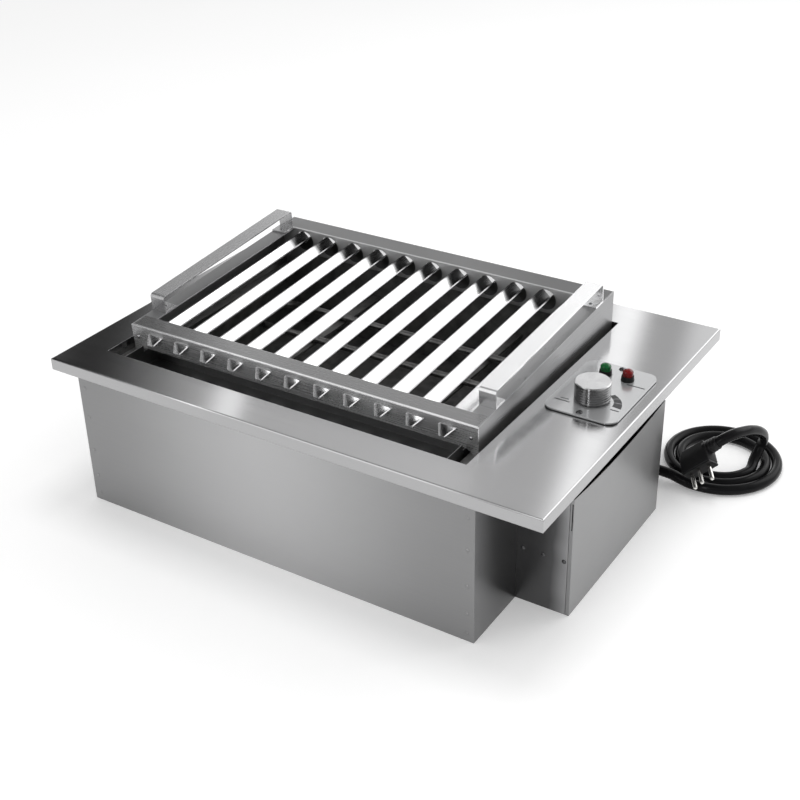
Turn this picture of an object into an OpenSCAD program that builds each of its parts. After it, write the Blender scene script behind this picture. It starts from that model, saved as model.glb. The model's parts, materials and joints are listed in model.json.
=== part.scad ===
// Built-in electric grill: folded steel deck, casing and control box, a lift-off grate of V channel
// bars that drain forward into a trough, a tubular heating element, and a mains lead in a loose coil.
// Millimetres, +Z up. The origin is on the floor, below the middle of the deck.

/* [Casing] */
// Width of the main casing
casing_w = 503; // [440:1:560]
// Depth of the main casing
casing_d = 394; // [340:1:440]
// Height from the floor to the top of the deck
casing_h = 187; // [170:1:220]
// Thickness of the casing sheet
casing_t = 1; // [0.8:0.1:1.5]
// Width of the in-turned flanges of the casing walls
casing_flange = 16; // [12:1:20]
// Distance of the rivet columns from the corners of the casing
rivet_inset = 8; // [6:0.5:10]
// Diameter of a casing rivet's head
rivet_head_d = 4.4; // [3.6:0.1:6]

/* [Deck] */
// How far the deck stands out beyond the casing and the control box
overhang = 18; // [12:1:26]
// Height of the down-turned rim of the deck
rim_h = 14; // [10:0.5:20]
// Thickness of the deck sheet
deck_t = 1.2; // [1:0.1:2]
// Outer bend radius along the edges of the deck
deck_bend_r = 2; // [2:0.1:3]
// Steel left between the casing's side and the firebox opening
opening_side = 24.5; // [22:0.5:32]
// Steel left between the casing's front or rear and the firebox opening
opening_front = 26; // [22:0.5:34]
// Height of the down-turned lip of the opening
opening_lip = 8; // [5:0.5:12]

/* [Firebox] */
// Thickness of the liner sheet
liner_t = 1; // [0.8:0.1:1.5]
// Width of the liner's top flange below the deck
liner_flange = 10; // [6:0.5:10]
// Height of the liner's floor above the casing's floor
liner_floor = 75; // [50:1:100]
// Width of the ledges that carry the grate
ledge_w = 21; // [19:0.5:24]
// Depth of the grate ledges below the top of the deck
ledge_drop = 15; // [13:0.5:18]
// Height of a ledge's welded leg
ledge_leg = 14; // [10:0.5:16]

/* [Heating element] */
// Diameter of the element's sheath
element_d = 8.5; // [6.5:0.1:10]
// Distance between neighbouring runs of the element
element_pitch = 64; // [54:1:66]
// Depth of the element's axis below the top of the deck
element_drop = 42; // [40:1:60]
// Gap between the element's end bends and the liner
element_end_gap = 28; // [12:1:40]
// Length of sheath that stands into the control box
element_cold_end = 22; // [16:1:28]
// Width of a flat bar that carries the element
support_w = 12; // [8:1:20]
// Thickness of a flat bar that carries the element
support_t = 3; // [2:0.5:5]
// Distance of the two flat bars from the middle of the firebox
support_x = 100; // [60:1:140]

/* [Grate] */
// Gap between the grate and the sides of the opening
grate_gap = 7; // [4:0.5:10]
// Distance from the front of the opening to the grate's front rail
grate_setback = 34; // [32:1:40]
// Gap between the grate and the rear of the opening
grate_rear_gap = 2; // [2:0.5:6]
// Height of the front rail's top above the deck
grate_rise = 20; // [18:0.5:26]
// Tilt of the grate, lower at the front
grate_tilt = 3.4; // [2:0.1:4.5]
// Thickness of the grate's sheet
grate_t = 1.5; // [1.2:0.1:2]
// Height of the front rail above its arch
front_web_h = 27; // [25:0.5:28]
// Height of the rear rail between its legs
rear_web_h = 32; // [31:0.5:34]
// Width of the front rail's top flange
front_flange = 22; // [16:0.5:26]
// Width of the rear rail's top flange
rear_flange = 26; // [18:0.5:30]
// Width of the side plates' top flanges
side_flange = 19; // [16:0.5:22]
// Width of a foot of the front rail
foot_w = 6; // [5:0.5:9]
// Radius of the arch over the trough
arch_r = 12; // [8:0.5:14]
// Width of a leg of the rear rail
leg_w = 26; // [16:0.5:30]

/* [Channel bars] */
// Number of channel bars
bar_count = 11; // [9:1:12]
// Height of a channel bar, and half its width across the top
bar_h = 10; // [9:0.25:11]
// Thickness of the channel bars
bar_t = 1.2; // [1:0.1:1.5]
// Depth of the bars' upper edges below the top of the rails
bar_drop = 7.5; // [6:0.5:9]
// Distance from the grate's side to the middle of the outermost bar
bar_margin = 34; // [32:0.5:40]
// How far a bar's pointed spout stands out of the front rail
spout = 11; // [8:0.5:13]
// How far a bar stands out behind the rear rail
bar_tail = 8; // [4:0.5:12]

/* [Handles] */
// Width of the handle straps
handle_w = 19; // [16:0.5:19]
// Thickness of the handle straps
handle_t = 2; // [1.5:0.1:3]
// Height of the handles above the side plates, at the front
handle_h = 20.5; // [18:0.5:30]
// How much higher the handles stand at the rear
handle_rise = 3.5; // [0:0.5:6]
// Distance from the front rail's face to the handles
handle_front = 36; // [32:0.5:60]
// Distance from the handles to the rear of the grate
handle_rear = 28; // [25:0.5:60]
// Length of a handle's in-turned foot
handle_foot = 18; // [14:0.5:26]
// Outer bend radius of the handles
handle_bend_r = 4; // [3.5:0.1:6]

/* [Grease trough] */
// Gap between the trough's ends and the grate's ledges
trough_end_gap = 3; // [2:0.5:6]
// Gap between the trough and the front of the opening
trough_front_gap = 2; // [2:0.5:4]
// Depth of the trough from front to rear
trough_d = 51; // [46:0.5:60]
// Height of the trough's front and ends
trough_h = 26; // [20:0.5:30]
// How far the trough's rim lies below the top of the deck
trough_drop = 2; // [2:0.5:4]
// Thickness of the trough's sheet
trough_t = 1; // [0.8:0.1:1.5]
// Gap between the trough's rear wall and the grate's arch
trough_arch_gap = 2; // [1.5:0.5:4]

/* [Control box] */
// Width of the control box
control_w = 61; // [58:0.5:80]
// Room between the element's terminals and the ends of the control box
terminal_room = 15; // [12:0.5:30]
// Height of the cover at its ends
cover_h = 141.5; // [120:0.5:155]
// How far the cover's top edge dips in the middle
cover_dip = 5.5; // [3:0.5:10]
// Width of the cover's folded edges
cover_fold = 4; // [3:0.5:8]
// Height of the row of screws on the box's front
screw_row_z = 65; // [50:1:90]
// Distance between the screws of that row
screw_pitch = 23; // [18:0.5:24]

/* [Control panel] */
// Width of the control panel
panel_w = 80; // [70:0.5:84]
// Length of the control panel
panel_d = 115; // [112:0.5:130]
// Thickness of the control panel
panel_t = 1.5; // [1:0.1:2.5]
// Thickness of the gasket below the panel
gasket_t = 1; // [0.5:0.1:1.5]
// Corner radius of the control panel
panel_r = 12; // [6:0.5:18]
// Middle of the panel, measured from the control box's centre line
panel_y = 17.5; // [10:0.5:20]
// Distance of the panel's screws from its ends
panel_screw_inset = 6; // [5:0.5:8]

/* [Knob and thermostat] */
// Diameter of the knob
knob_d = 37; // [34:0.5:42]
// Height of the knob
knob_h = 20; // [18:0.5:26]
// Gap between the knob and the panel
knob_gap = 1.5; // [1:0.1:3]
// Place of the knob, measured from the control box's centre line
knob_y = -3.5; // [-6:0.5:0]
// Diameter of the thermostat's shaft
shaft_d = 6; // [5:0.1:6.5]
// Width and depth of the thermostat's body
thermostat_w = 36; // [30:0.5:38]
// Height of the thermostat's body
thermostat_h = 26; // [25:0.5:34]

/* [Pilot lamps] */
// Diameter of a lens
lens_d = 11.4; // [10:0.1:12]
// Height of a lens above the panel
lens_h = 13; // [11:0.5:15]
// Distance between the two lamps
lamp_pitch = 25; // [20:0.5:26]
// Place of the lamps, measured from the control box's centre line
lamp_y = 51; // [42:0.5:54]

/* [Mains lead] */
// Diameter of the lead
cord_d = 12.5; // [12:0.1:13]
// Length of the tapered strain relief
relief_l = 30; // [24:0.5:30]
// Distance of the lead's outlet from the rear of the casing
outlet_inset = 27; // [26:0.5:40]
// Height of the lead's outlet above the floor
outlet_z = 12; // [11:0.5:14]
// Width of the plug
plug_w = 38; // [36:0.5:40]
// Thickness of the plug
plug_t = 18; // [17:0.5:19]
// Length of the plug's body
plug_l = 30; // [28:0.5:32]
// Diameter of a plug pin
pin_d = 4.8; // [4:0.1:5]
// Length of a plug pin
pin_l = 19; // [17:0.5:20]

/* [Hidden] */
$fn = 48;
e = 0.01;

// Clearances
seat_gap = 0.3;      // under a lift-off piece
fit_gap = 0.15;      // around a bar in its slot, a shank in its hole
run_gap = 0.05;      // around the turning shaft
weld_gap = 0.1;      // between the element and its supports
seam_gap = 0.4;      // between neighbouring folded sheets

// Deck, casing and control box
deck_w = casing_w + control_w + 2 * overhang;
deck_d = casing_d + 2 * overhang;
deck_z = casing_h;
under_deck = deck_z - deck_t;
casing_x0 = -deck_w / 2 + overhang;
casing_x1 = casing_x0 + casing_w;
casing_y = casing_d / 2;
control_x1 = casing_x1 + control_w;
control_d = 3 * element_pitch + 2 * terminal_room;
control_y = control_d / 2;
control_mid = (casing_x1 + control_x1) / 2;
fire_x = (casing_x0 + casing_x1) / 2;
opening_w = casing_w - 2 * opening_side;
opening_d = casing_d - 2 * opening_front;
opening_x1 = fire_x + opening_w / 2;
opening_y = opening_d / 2;
rivet_z = [0.05, 0.18, 0.36, 0.59, 0.79] * casing_h;
rivet_shank_d = rivet_head_d * 0.65;
rivet_rise = 0.6;

// Firebox
liner_w = opening_w + 2 * (deck_t + seam_gap);
liner_d = opening_d + 2 * (deck_t + seam_gap);
liner_y = liner_d / 2;
ledge_z = deck_z - ledge_drop;
element_z = deck_z - element_drop;
element_y = element_pitch * 1.5;
element_left = fire_x - liner_w / 2 + element_end_gap + (element_pitch + element_d) / 2;
element_right = fire_x + liner_w / 2 - element_end_gap - (element_pitch + element_d) / 2;
element_end = casing_x1 + element_cold_end;
collar_d = 15;
collar_l = 4;
bead_l = 6;
stud_d = 4;
stud_l = 11;

// Grate, in a frame of its own at the top of the front rail's face
grate_w = opening_w - 2 * grate_gap;
grate_y0 = -opening_y + grate_setback;
grate_l = (opening_d - grate_setback - grate_rear_gap) / cos(grate_tilt);
grate_z0 = deck_z + grate_rise;
rear_web_y = grate_l - rear_flange;
bar_pitch = (grate_w - 2 * bar_margin) / (bar_count - 1);
bar_l = spout + rear_web_y + grate_t + bar_tail;
grate_drop_max = grate_rise + ledge_drop + grate_l * sin(grate_tilt) + grate_t;
handle_l = grate_l - handle_front - handle_rear;
hole_sink = 7.5;
beak_fold = 0.62;
beak_rise = 4;
beak_root = 1;
grate_rivet_d = 4;
grate_shank_d = 2.6;
grate_rivet_z = -14;
grate_rivet_inset = 8;
grate_tab_w = 14;
handle_rivet_inset = 6;
bend_steps = 8;

// Trough
trough_w = liner_w - 2 * (ledge_w + trough_end_gap);
trough_y0 = -opening_y + trough_front_gap;
trough_z0 = deck_z - trough_drop - trough_h;
trough_step_gap = 2;
trough_ledge_gap = 6;
trough_rear_h = deck_z + grate_rise - front_web_h - trough_arch_gap - trough_z0;

// Controls
panel_z = deck_z + gasket_t;
panel_top = panel_z + panel_t;
panel_shift = 4.5;
panel_x = control_mid - panel_shift;
knob_shift = 0.5;
knob_x = panel_x - knob_shift;
knob_z = panel_top + knob_gap;
lamp_shift = 1.5;
lamp_x = panel_x + lamp_shift;
bush_wall = 2;
bush_d = shaft_d + 2 * bush_wall;
nut_wall = 2;
nut_af = bush_d + 2 * nut_wall;
nut_h = 2.5;
shoulder_d = 17;
shoulder_h = 10;
thermostat_z = under_deck - shoulder_h;
bezel_wall = 1.4;
bezel_d = lens_d + 2 * bezel_wall;
bezel_h = 5.5;
bezel_rim = 0.6;
lens_crown = 1.2;
panel_screw_d = 3.5;
panel_screw_y = panel_d / 2 - panel_screw_inset;
bulb_d = 6;
bulb_l = 90;
capillary_d = 2;
capillary_shift = 10;
capillary_y = knob_y - capillary_shift;
bulb_gap = 1;
capillary_z = ledge_z - ledge_leg - bulb_d / 2 - bulb_gap;

// Mains lead: the outlet, the loops of the coil and the free stretch to the plug
gland_d = 21;
gland_t = 3;
outlet_y = casing_y - outlet_inset;
relief_x = casing_x1 + gland_t + relief_l;
cord_r = cord_d / 2;
coil_r0 = 70;
lead_l = 54;
coil_mid = [relief_x + lead_l, outlet_y + coil_r0, cord_r];
coil_clear = 0.8;
coil_step = cord_d + coil_clear;
coil_turn = 800;
coil_steps = 54;
// Route from the outlet to the coil: distance from the strain relief, share of the drop to the floor
lead_route = [[10, 0], [22, 0.14], [34, 0.64], [44, 0.95]];
// Route from the coil to the plug: place beside the coil's middle, share of the rise to the plug's side
tail_route = [[38.5, 8, 0.085], [39.5, 17, 0.22], [42, 20.5, 0.41], [43.5, 15.5, 0.61],
    [43, 2.5, 0.81], [39.5, -15, 0.98], [34, -34, 1.09], [26, -51.5, 1.12]];
// The plug leans on the loops, nose down and one side up
plug_heading = -52;
plug_pitch = 26;
plug_roll = 50;
plug_axis = [cos(plug_pitch) * cos(plug_heading), cos(plug_pitch) * sin(plug_heading), -sin(plug_pitch)];
plug_side = [sin(plug_roll) * sin(plug_pitch) * cos(plug_heading) - cos(plug_roll) * sin(plug_heading),
    sin(plug_roll) * sin(plug_pitch) * sin(plug_heading) + cos(plug_roll) * cos(plug_heading),
    sin(plug_roll) * cos(plug_pitch)];
plug_rest = 4;
plug_lift = cord_r + plug_rest + plug_w / 2 * plug_side[2] + plug_t / 2 * cos(plug_roll) * cos(plug_pitch);
plug_place = [4.7, -80.3];
plug_rear = coil_mid + [plug_place[0], plug_place[1], plug_lift] - plug_l * plug_axis;
boss_x = 9;
boss_l = 12;
plug_end = plug_rear + boss_x * plug_axis + (plug_w / 2 + boss_l) * plug_side;
plug_rise = plug_end[2] - coil_mid[2];
pin_offset = 12;
earth_offset = 3;

BAR_NAMES = [for (i = [1:bar_count]) str("v_bar_", i < 10 ? "0" : "", i)];

// Shapes used by more than one piece

// Box given by two opposite corners
module span(a, b) {
    translate(a) cube(b - a);
}

// Rectangle on the X axis with its two upper corners rounded
module round_top(w, h, r) {
    translate([-w / 2, 0]) square([w, h - r]);
    translate([-w / 2 + r, 0]) square([w - 2 * r, h]);
    for (s = [-1, 1]) translate([s * (w / 2 - r), h - r]) circle(r);
}

// Block with a bend radius along its four upper edges
module bent_block(w, d, h, r) {
    intersection() {
        rotate([90, 0, 0]) linear_extrude(d, center = true) round_top(w, h, r);
        rotate([90, 0, 90]) linear_extrude(w, center = true) round_top(d, h, r);
    }
}

// Flat outline with round corners
module round_rect(w, d, r) {
    square([w - 2 * r, d], center = true);
    square([w, d - 2 * r], center = true);
    for (x = [-1, 1], y = [-1, 1]) translate([x * (w / 2 - r), y * (d / 2 - r)]) circle(r);
}

module ring(outer, inner, h) {
    difference() {
        cylinder(d = outer, h = h);
        translate([0, 0, -e]) cylinder(d = inner, h = h + 2 * e);
    }
}

// Low domed head on a shank, the head's seat at z = 0
module dome_head(head_d, head_h, shank_d, shank_l) {
    ball_r = (head_d * head_d / 4 + head_h * head_h) / (2 * head_h);
    intersection() {
        translate([0, 0, head_h - ball_r]) sphere(ball_r);
        cylinder(d = head_d, h = head_h);
    }
    translate([0, 0, -shank_l]) cylinder(d = shank_d, h = shank_l + e);
}

// Places the front of the casing sees its rivets in, on both columns
module at_casing_rivets() {
    for (s = [-1, 1], x = [casing_x0 + rivet_inset, casing_x1 - rivet_inset], z = rivet_z)
        translate([x, s * casing_y, z]) rotate([s < 0 ? 90 : -90, 0, 0]) children();
}

module rivet_holes() {
    at_casing_rivets()
        translate([0, 0, -3 * casing_t]) cylinder(d = rivet_shank_d + 2 * fit_gap, h = 4 * casing_t);
}

// Tube of the lead: rings of equal sides around a smooth route through the given points, with flat ends
function unit(v) = v / norm(v);
function slope(p, i, first, last) =
    i == 0 ? first * norm(p[1] - p[0])
    : i == len(p) - 1 ? last * norm(p[i] - p[i - 1])
    : (p[i + 1] - p[i - 1]) / 2;
function between(a, b, ma, mb, t) =
    (2 * t * t * t - 3 * t * t + 1) * a + (t * t * t - 2 * t * t + t) * ma
    + (3 * t * t - 2 * t * t * t) * b + (t * t * t - t * t) * mb;
function smooth(p, first, last, n) = [
    for (i = [0:len(p) - 2], k = [0:n - 1])
        between(p[i], p[i + 1], slope(p, i, first, last), slope(p, i + 1, first, last), k / n),
    p[len(p) - 1]];
function tube_ring(c, t, r, n, side) =
    let (s = unit(cross(t, side)), u = cross(s, t))
    [for (k = [0:n - 1]) c + r * (cos(360 * k / n) * s + sin(360 * k / n) * u)];

module tube(p, r, n, first, last, side = [0, 0, 1]) {
    m = len(p);
    ways = [for (i = [0:m - 1]) i == 0 ? first : i == m - 1 ? last : unit(p[i + 1] - p[i - 1])];
    points = [for (i = [0:m - 1]) each tube_ring(p[i], ways[i], r, n, side)];
    walls = [for (i = [0:m - 2], k = [0:n - 1])
        let (a = i * n + k, b = i * n + (k + 1) % n) each [[a, b, b + n], [a, b + n, a + n]]];
    ends = [for (k = [1:n - 2]) each [[0, k + 1, k], [(m - 1) * n, (m - 1) * n + k, (m - 1) * n + k + 1]]];
    polyhedron(points = points, faces = concat(walls, ends));
}

// Coil: the loops run anticlockwise on the floor and draw in steadily
function coil_r(a) = coil_r0 - coil_step * a / 360;
function coil_point(a) = coil_mid + coil_r(a) * [sin(a), -cos(a), 0];
function coil_way(a) =
    let (draw = -coil_step / (2 * PI))
    unit(coil_r(a) * [cos(a), sin(a), 0] + draw * [sin(a), -cos(a), 0]);
coil_path = [for (i = [0:coil_steps]) coil_point(coil_turn * i / coil_steps)];
coil_gap = min([for (i = [0:coil_steps], j = [0:coil_steps])
    if (j - i > coil_steps / 3) norm(coil_path[i] - coil_path[j])]) - cord_d;
echo(least_gap_between_loops = coil_gap);

// Outer body

module deck_plate() color("silver") {
    difference() {
        translate([0, 0, deck_z - rim_h]) bent_block(deck_w, deck_d, rim_h, deck_bend_r);
        translate([0, 0, deck_z - rim_h - deck_t])
            bent_block(deck_w - 2 * deck_t, deck_d - 2 * deck_t, rim_h, deck_bend_r - deck_t);
        translate([fire_x, 0, deck_z]) cube([opening_w, opening_d, 4 * deck_t], center = true);
        panel_holes(deck_z - 2 * deck_t, 3 * deck_t);
    }
    opening_rim();
}

module opening_rim() {
    difference() {
        translate([fire_x, 0, deck_z - opening_lip / 2 - deck_t / 2])
            cube([opening_w + 2 * deck_t, opening_d + 2 * deck_t, opening_lip - deck_t], center = true);
        translate([fire_x, 0, deck_z]) cube([opening_w, opening_d, 3 * opening_lip], center = true);
    }
}

// Front and rear panels: flat sheet with a bottom flange that carries the bottom plate
module casing_end(s) {
    difference() {
        union() {
            span([casing_x0, s < 0 ? -casing_y : casing_y - casing_t, 0],
                 [casing_x1, s < 0 ? -casing_y + casing_t : casing_y, under_deck]);
            span([casing_x0 + casing_t, s < 0 ? -casing_y : casing_y - casing_flange, 0],
                 [casing_x1 - casing_t, s < 0 ? -casing_y + casing_flange : casing_y, casing_t]);
        }
        rivet_holes();
    }
}

module casing_front() color("darkgray") casing_end(-1);

module casing_rear() color("darkgray") casing_end(1);

// Side walls: flat sheet with flanges behind the front and rear panels
module casing_side(x_out, s) {
    inner_y = casing_y - casing_t;
    lift = 2 * casing_t + seam_gap;
    difference() {
        union() {
            span([min(x_out, x_out - s * casing_t), -inner_y, 0],
                 [max(x_out, x_out - s * casing_t), inner_y, under_deck]);
            for (y = [-inner_y, inner_y - casing_t])
                span([min(x_out, x_out - s * casing_flange), y, lift],
                     [max(x_out, x_out - s * casing_flange), y + casing_t, under_deck]);
        }
        rivet_holes();
    }
}

module casing_left() color("darkgray") casing_side(casing_x0, -1);

module casing_right() color("dimgray") difference() {
    casing_side(casing_x1, 1);
    at_element_ends() translate([0, 0, -casing_w / 8]) cylinder(d = element_d + 2 * fit_gap, h = casing_w / 4);
    translate([casing_x1, capillary_y, capillary_z]) rotate([0, 90, 0])
        cylinder(d = capillary_d + 2 * fit_gap, h = 4 * casing_t, center = true);
    at_outlet() cylinder(d = gland_neck_d() + 2 * fit_gap, h = 4 * casing_t, center = true);
}

module casing_bottom() color("darkgray")
    span([casing_x0 + casing_t, -casing_y + casing_t, casing_t],
         [casing_x1 - casing_t, casing_y - casing_t, 2 * casing_t]);

module casing_rivets() color("gray")
    at_casing_rivets() dome_head(rivet_head_d, rivet_rise, rivet_shank_d, 2 * casing_t);

// Control box: front, bottom and rear folded from one sheet, with flanges on the casing's wall
module control_box_shell() color("gray") difference() {
    edge = control_x1 - cover_fold - seam_gap;
    union() {
        for (s = [-1, 1]) {
            span([casing_x1, s < 0 ? -control_y : control_y - casing_t, 0],
                 [edge, s < 0 ? -control_y + casing_t : control_y, under_deck]);
            span([casing_x1, s < 0 ? -control_y : control_y - casing_flange, 0],
                 [casing_x1 + casing_t, s < 0 ? -control_y + casing_flange : control_y, under_deck]);
        }
        span([casing_x1, -control_y, 0], [control_x1 - casing_t, control_y, casing_t]);
    }
    at_box_screws() translate([0, 0, -2 * casing_t]) cylinder(d = box_screw_d() + 2 * fit_gap, h = 4 * casing_t);
    at_element_ends() cylinder(d = collar_d + 2 * seam_gap, h = 2 * collar_l, center = true);
}

// Cover: side sheet with a bowed top edge, folded edges and an open seam above its front weld
module control_box_cover() color("gray") difference() {
    union() {
        span([control_x1 - casing_t, -control_y, 0], [control_x1, control_y, cover_h]);
        for (s = [-1, 1])
            span([control_x1 - cover_fold, s < 0 ? -control_y : control_y - casing_t, casing_t + seam_gap],
                 [control_x1, s < 0 ? -control_y + casing_t : control_y, cover_h]);
    }
    bow_r = (control_d * control_d / 4 + cover_dip * cover_dip) / (2 * cover_dip);
    translate([control_x1 - casing_t / 2, 0, cover_h - cover_dip + bow_r]) rotate([0, 90, 0])
        cylinder(r = bow_r, h = 4 * cover_fold, center = true, $fn = 96);
    span([control_x1 - 2 * casing_t, -control_y - e, 0.74 * cover_h],
         [control_x1 - casing_t, -control_y + casing_t + e, 0.96 * cover_h]);
}

function box_screw_d() = 3;

module at_box_screws() {
    for (i = [-1, 0, 1])
        translate([control_mid - 0.5 + i * screw_pitch, -control_y, screw_row_z]) rotate([90, 0, 0]) children();
}

module control_box_screws() color("gray") at_box_screws() dome_head(5, 1.2, box_screw_d(), 2 * casing_t + 4);

// Firebox

module firebox_liner() color("dimgray") difference() {
    union() {
        translate([fire_x, 0, (liner_floor + under_deck) / 2])
            cube([liner_w + 2 * liner_t, liner_d + 2 * liner_t, under_deck - liner_floor], center = true);
        translate([fire_x, 0, under_deck - liner_t / 2])
            cube([liner_w + 2 * liner_flange, liner_d + 2 * liner_flange, liner_t], center = true);
    }
    translate([fire_x, 0, (liner_floor + liner_t + under_deck + 1) / 2])
        cube([liner_w, liner_d, under_deck + 1 - liner_floor - liner_t], center = true);
    at_element_ends() translate([0, 0, -casing_w / 8]) cylinder(d = element_d + 2 * fit_gap, h = casing_w / 4);
    translate([fire_x + liner_w / 2, capillary_y, capillary_z]) rotate([0, 90, 0])
        cylinder(d = capillary_d + 2 * fit_gap, h = 6 * liner_t, center = true);
}

// Angle strips on the liner's side walls
module grate_ledge(s) {
    wall = fire_x + s * liner_w / 2;
    length = opening_d - 2 * grate_rear_gap;
    translate([wall - s * ledge_w / 2, 0, ledge_z - liner_t / 2]) cube([ledge_w, length, liner_t], center = true);
    translate([wall - s * liner_t / 2, 0, ledge_z - ledge_leg / 2]) cube([liner_t, length, ledge_leg], center = true);
}

module grate_ledge_left() color("gray") grate_ledge(-1);

module grate_ledge_right() color("gray") grate_ledge(1);

// Angle strip on the liner's front wall, under the trough
module trough_ledge() color("gray") {
    top = trough_z0 - seat_gap;
    length = trough_w - 2 * trough_end_gap;
    span([fire_x - length / 2, -liner_y, top - liner_t], [fire_x + length / 2, trough_y0 + trough_d - trough_ledge_gap, top]);
    span([fire_x - length / 2, -liner_y, top - ledge_leg], [fire_x + length / 2, -liner_y + liner_t, top]);
}

module at_element_ends() {
    for (s = [-1, 1]) translate([casing_x1, s * element_y, element_z]) rotate([0, 90, 0]) children();
}

// Half turn of the sheath at one end of two runs
module element_bend(x, y, s) {
    translate([x, y, element_z]) rotate([0, 0, s > 0 ? -90 : 90])
        rotate_extrude(angle = 180) translate([element_pitch / 2, 0]) circle(d = element_d);
}

module element_run(x0, x1, y) {
    translate([x0, y, element_z]) rotate([0, 90, 0]) cylinder(d = element_d, h = x1 - x0);
}

module heating_element() color("darkslategray") {
    for (s = [-1, 1]) {
        element_run(element_left, element_end, s * element_y);
        element_run(element_left, element_right, s * element_pitch / 2);
        element_bend(element_left, s * element_pitch, -1);
    }
    element_bend(element_right, 0, 1);
}

module element_supports() color("gray") {
    for (s = [-1, 1])
        translate([fire_x + s * support_x, 0, element_z - element_d / 2 - weld_gap - support_t / 2])
            cube([support_w, liner_d, support_t], center = true);
}

module element_terminals() color("ivory") {
    at_element_ends() translate([0, 0, element_cold_end]) {
        cylinder(d = element_d - 1, h = bead_l);
        cylinder(d = stud_d, h = bead_l + stud_l);
    }
}

module element_collars() color("goldenrod")
    at_element_ends() difference() {
        cylinder(d = collar_d, h = collar_l, $fn = 6);
        translate([0, 0, -e]) cylinder(d = element_d + 2 * run_gap, h = collar_l + 2 * e);
    }

// Grate

module in_grate() {
    translate([fire_x, grate_y0, grate_z0]) rotate([grate_tilt, 0, 0]) children();
}

// Keeps what stands above the ledges, so that the feet are level
module on_ledges() {
    difference() {
        children();
        translate([fire_x - deck_w / 2, -deck_d / 2, ledge_z + seat_gap - deck_z])
            cube([deck_w, deck_d, deck_z]);
    }
}

// Ends the side plates upright, clear of the opening's rear edge
module clear_of_rear() {
    difference() {
        children();
        translate([fire_x - deck_w / 2, opening_y - grate_rear_gap, 0]) cube([deck_w, deck_d, 2 * deck_z]);
    }
}

function bar_x(i) = -grate_w / 2 + bar_margin + i * bar_pitch;

// Slots that the channel bars pass through
module bar_slots() {
    half = bar_h + fit_gap * sqrt(2);
    for (i = [0:bar_count - 1])
        translate([bar_x(i), -bar_drop])
            polygon([[-half, fit_gap], [half, fit_gap], [half, 0], [0, -half], [-half, 0]]);
}

// Round holes behind them, which the upper edges of the bars just meet
module bar_holes() {
    for (i = [0:bar_count - 1]) translate([bar_x(i), -bar_drop - hole_sink])
        circle(r = norm([bar_h, hole_sink]) + fit_gap);
}

// Web in the plane of the grate's X and Z, its front face at y
module upright(y) {
    translate([0, y + grate_t, 0]) rotate([90, 0, 0]) linear_extrude(grate_t) children();
}

module grate_front_rail() color("silver") on_ledges() in_grate() {
    arch_w = grate_w - 2 * foot_w;
    upright(0) difference() {
        translate([-grate_w / 2, -grate_drop_max]) square([grate_w, grate_drop_max]);
        translate([0, -grate_drop_max - e]) round_top(arch_w, grate_drop_max - front_web_h + e, arch_r);
        bar_slots();
        for (s = [-1, 1]) translate([s * (grate_w / 2 - grate_rivet_inset), grate_rivet_z]) circle(d = grate_shank_d + 2 * fit_gap);
    }
    span([-grate_w / 2 + grate_t, 0, -grate_t], [grate_w / 2 - grate_t, front_flange, 0]);
}

module grate_rear_rail() color("silver") on_ledges() in_grate() {
    half = grate_w / 2 - grate_t - fit_gap;
    upright(rear_web_y) difference() {
        translate([-half, -grate_drop_max]) square([2 * half, grate_drop_max]);
        translate([-half + leg_w, -grate_drop_max - e]) square([2 * (half - leg_w), grate_drop_max - rear_web_h + e]);
        bar_holes();
    }
    span([-half, rear_web_y, -grate_t], [half, grate_l, 0]);
}

// Side plate that stands on its ledge and deepens to the rear, with an in-turned top flange between the rails
// and a tab behind the front rail
module grate_side(s) on_ledges() clear_of_rear() in_grate() difference() {
    out = s * grate_w / 2;
    union() {
        span([min(out, out - s * grate_t), grate_t, -grate_drop_max], [max(out, out - s * grate_t), grate_l, 0]);
        span([min(out, out - s * side_flange), front_flange + fit_gap, -grate_t],
             [max(out, out - s * side_flange), rear_web_y - fit_gap, 0]);
        span([min(out, out - s * grate_tab_w), grate_t, grate_t - front_web_h],
             [max(out, out - s * grate_tab_w), 2 * grate_t, -bar_drop]);
    }
    translate([out - s * grate_rivet_inset, 0, grate_rivet_z]) rotate([-90, 0, 0])
        cylinder(d = grate_shank_d + 2 * fit_gap, h = 4 * grate_t);
    at_handle_rivets(s) translate([0, 0, -4 * grate_t]) cylinder(d = grate_shank_d + 2 * fit_gap, h = 8 * grate_t);
}

module grate_left_side() color("silver") grate_side(-1);

module grate_right_side() color("silver") grate_side(1);

// V channel open at both ends, with a beak at the front: its tip stands on the left wing
module channel_bar(i) color("gainsboro") in_grate() translate([bar_x(i), 0, -bar_drop]) {
    wall = bar_t * sqrt(2);
    fold = [-spout * beak_fold, -bar_h - e];
    tip = [-spout, beak_rise - bar_h];
    root = [-beak_root, e];
    difference() {
        translate([0, bar_l - spout, 0]) rotate([90, 0, 0]) linear_extrude(bar_l)
            polygon([[-bar_h, 0], [0, -bar_h], [bar_h, 0], [bar_h - wall, 0], [0, wall - bar_h], [wall - bar_h, 0]]);
        translate([-2 * bar_h, 0, 0]) beak_cut([fold, tip, root]);
        beak_cut([fold, root]);
    }
}

// Takes away what lies in front of a wing's end
module beak_cut(edge) {
    far = -2 * spout;
    rotate([90, 0, 90]) linear_extrude(2 * bar_h)
        polygon(concat(edge, [[far, edge[len(edge) - 1][1]], [far, edge[0][1]]]));
}

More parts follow.
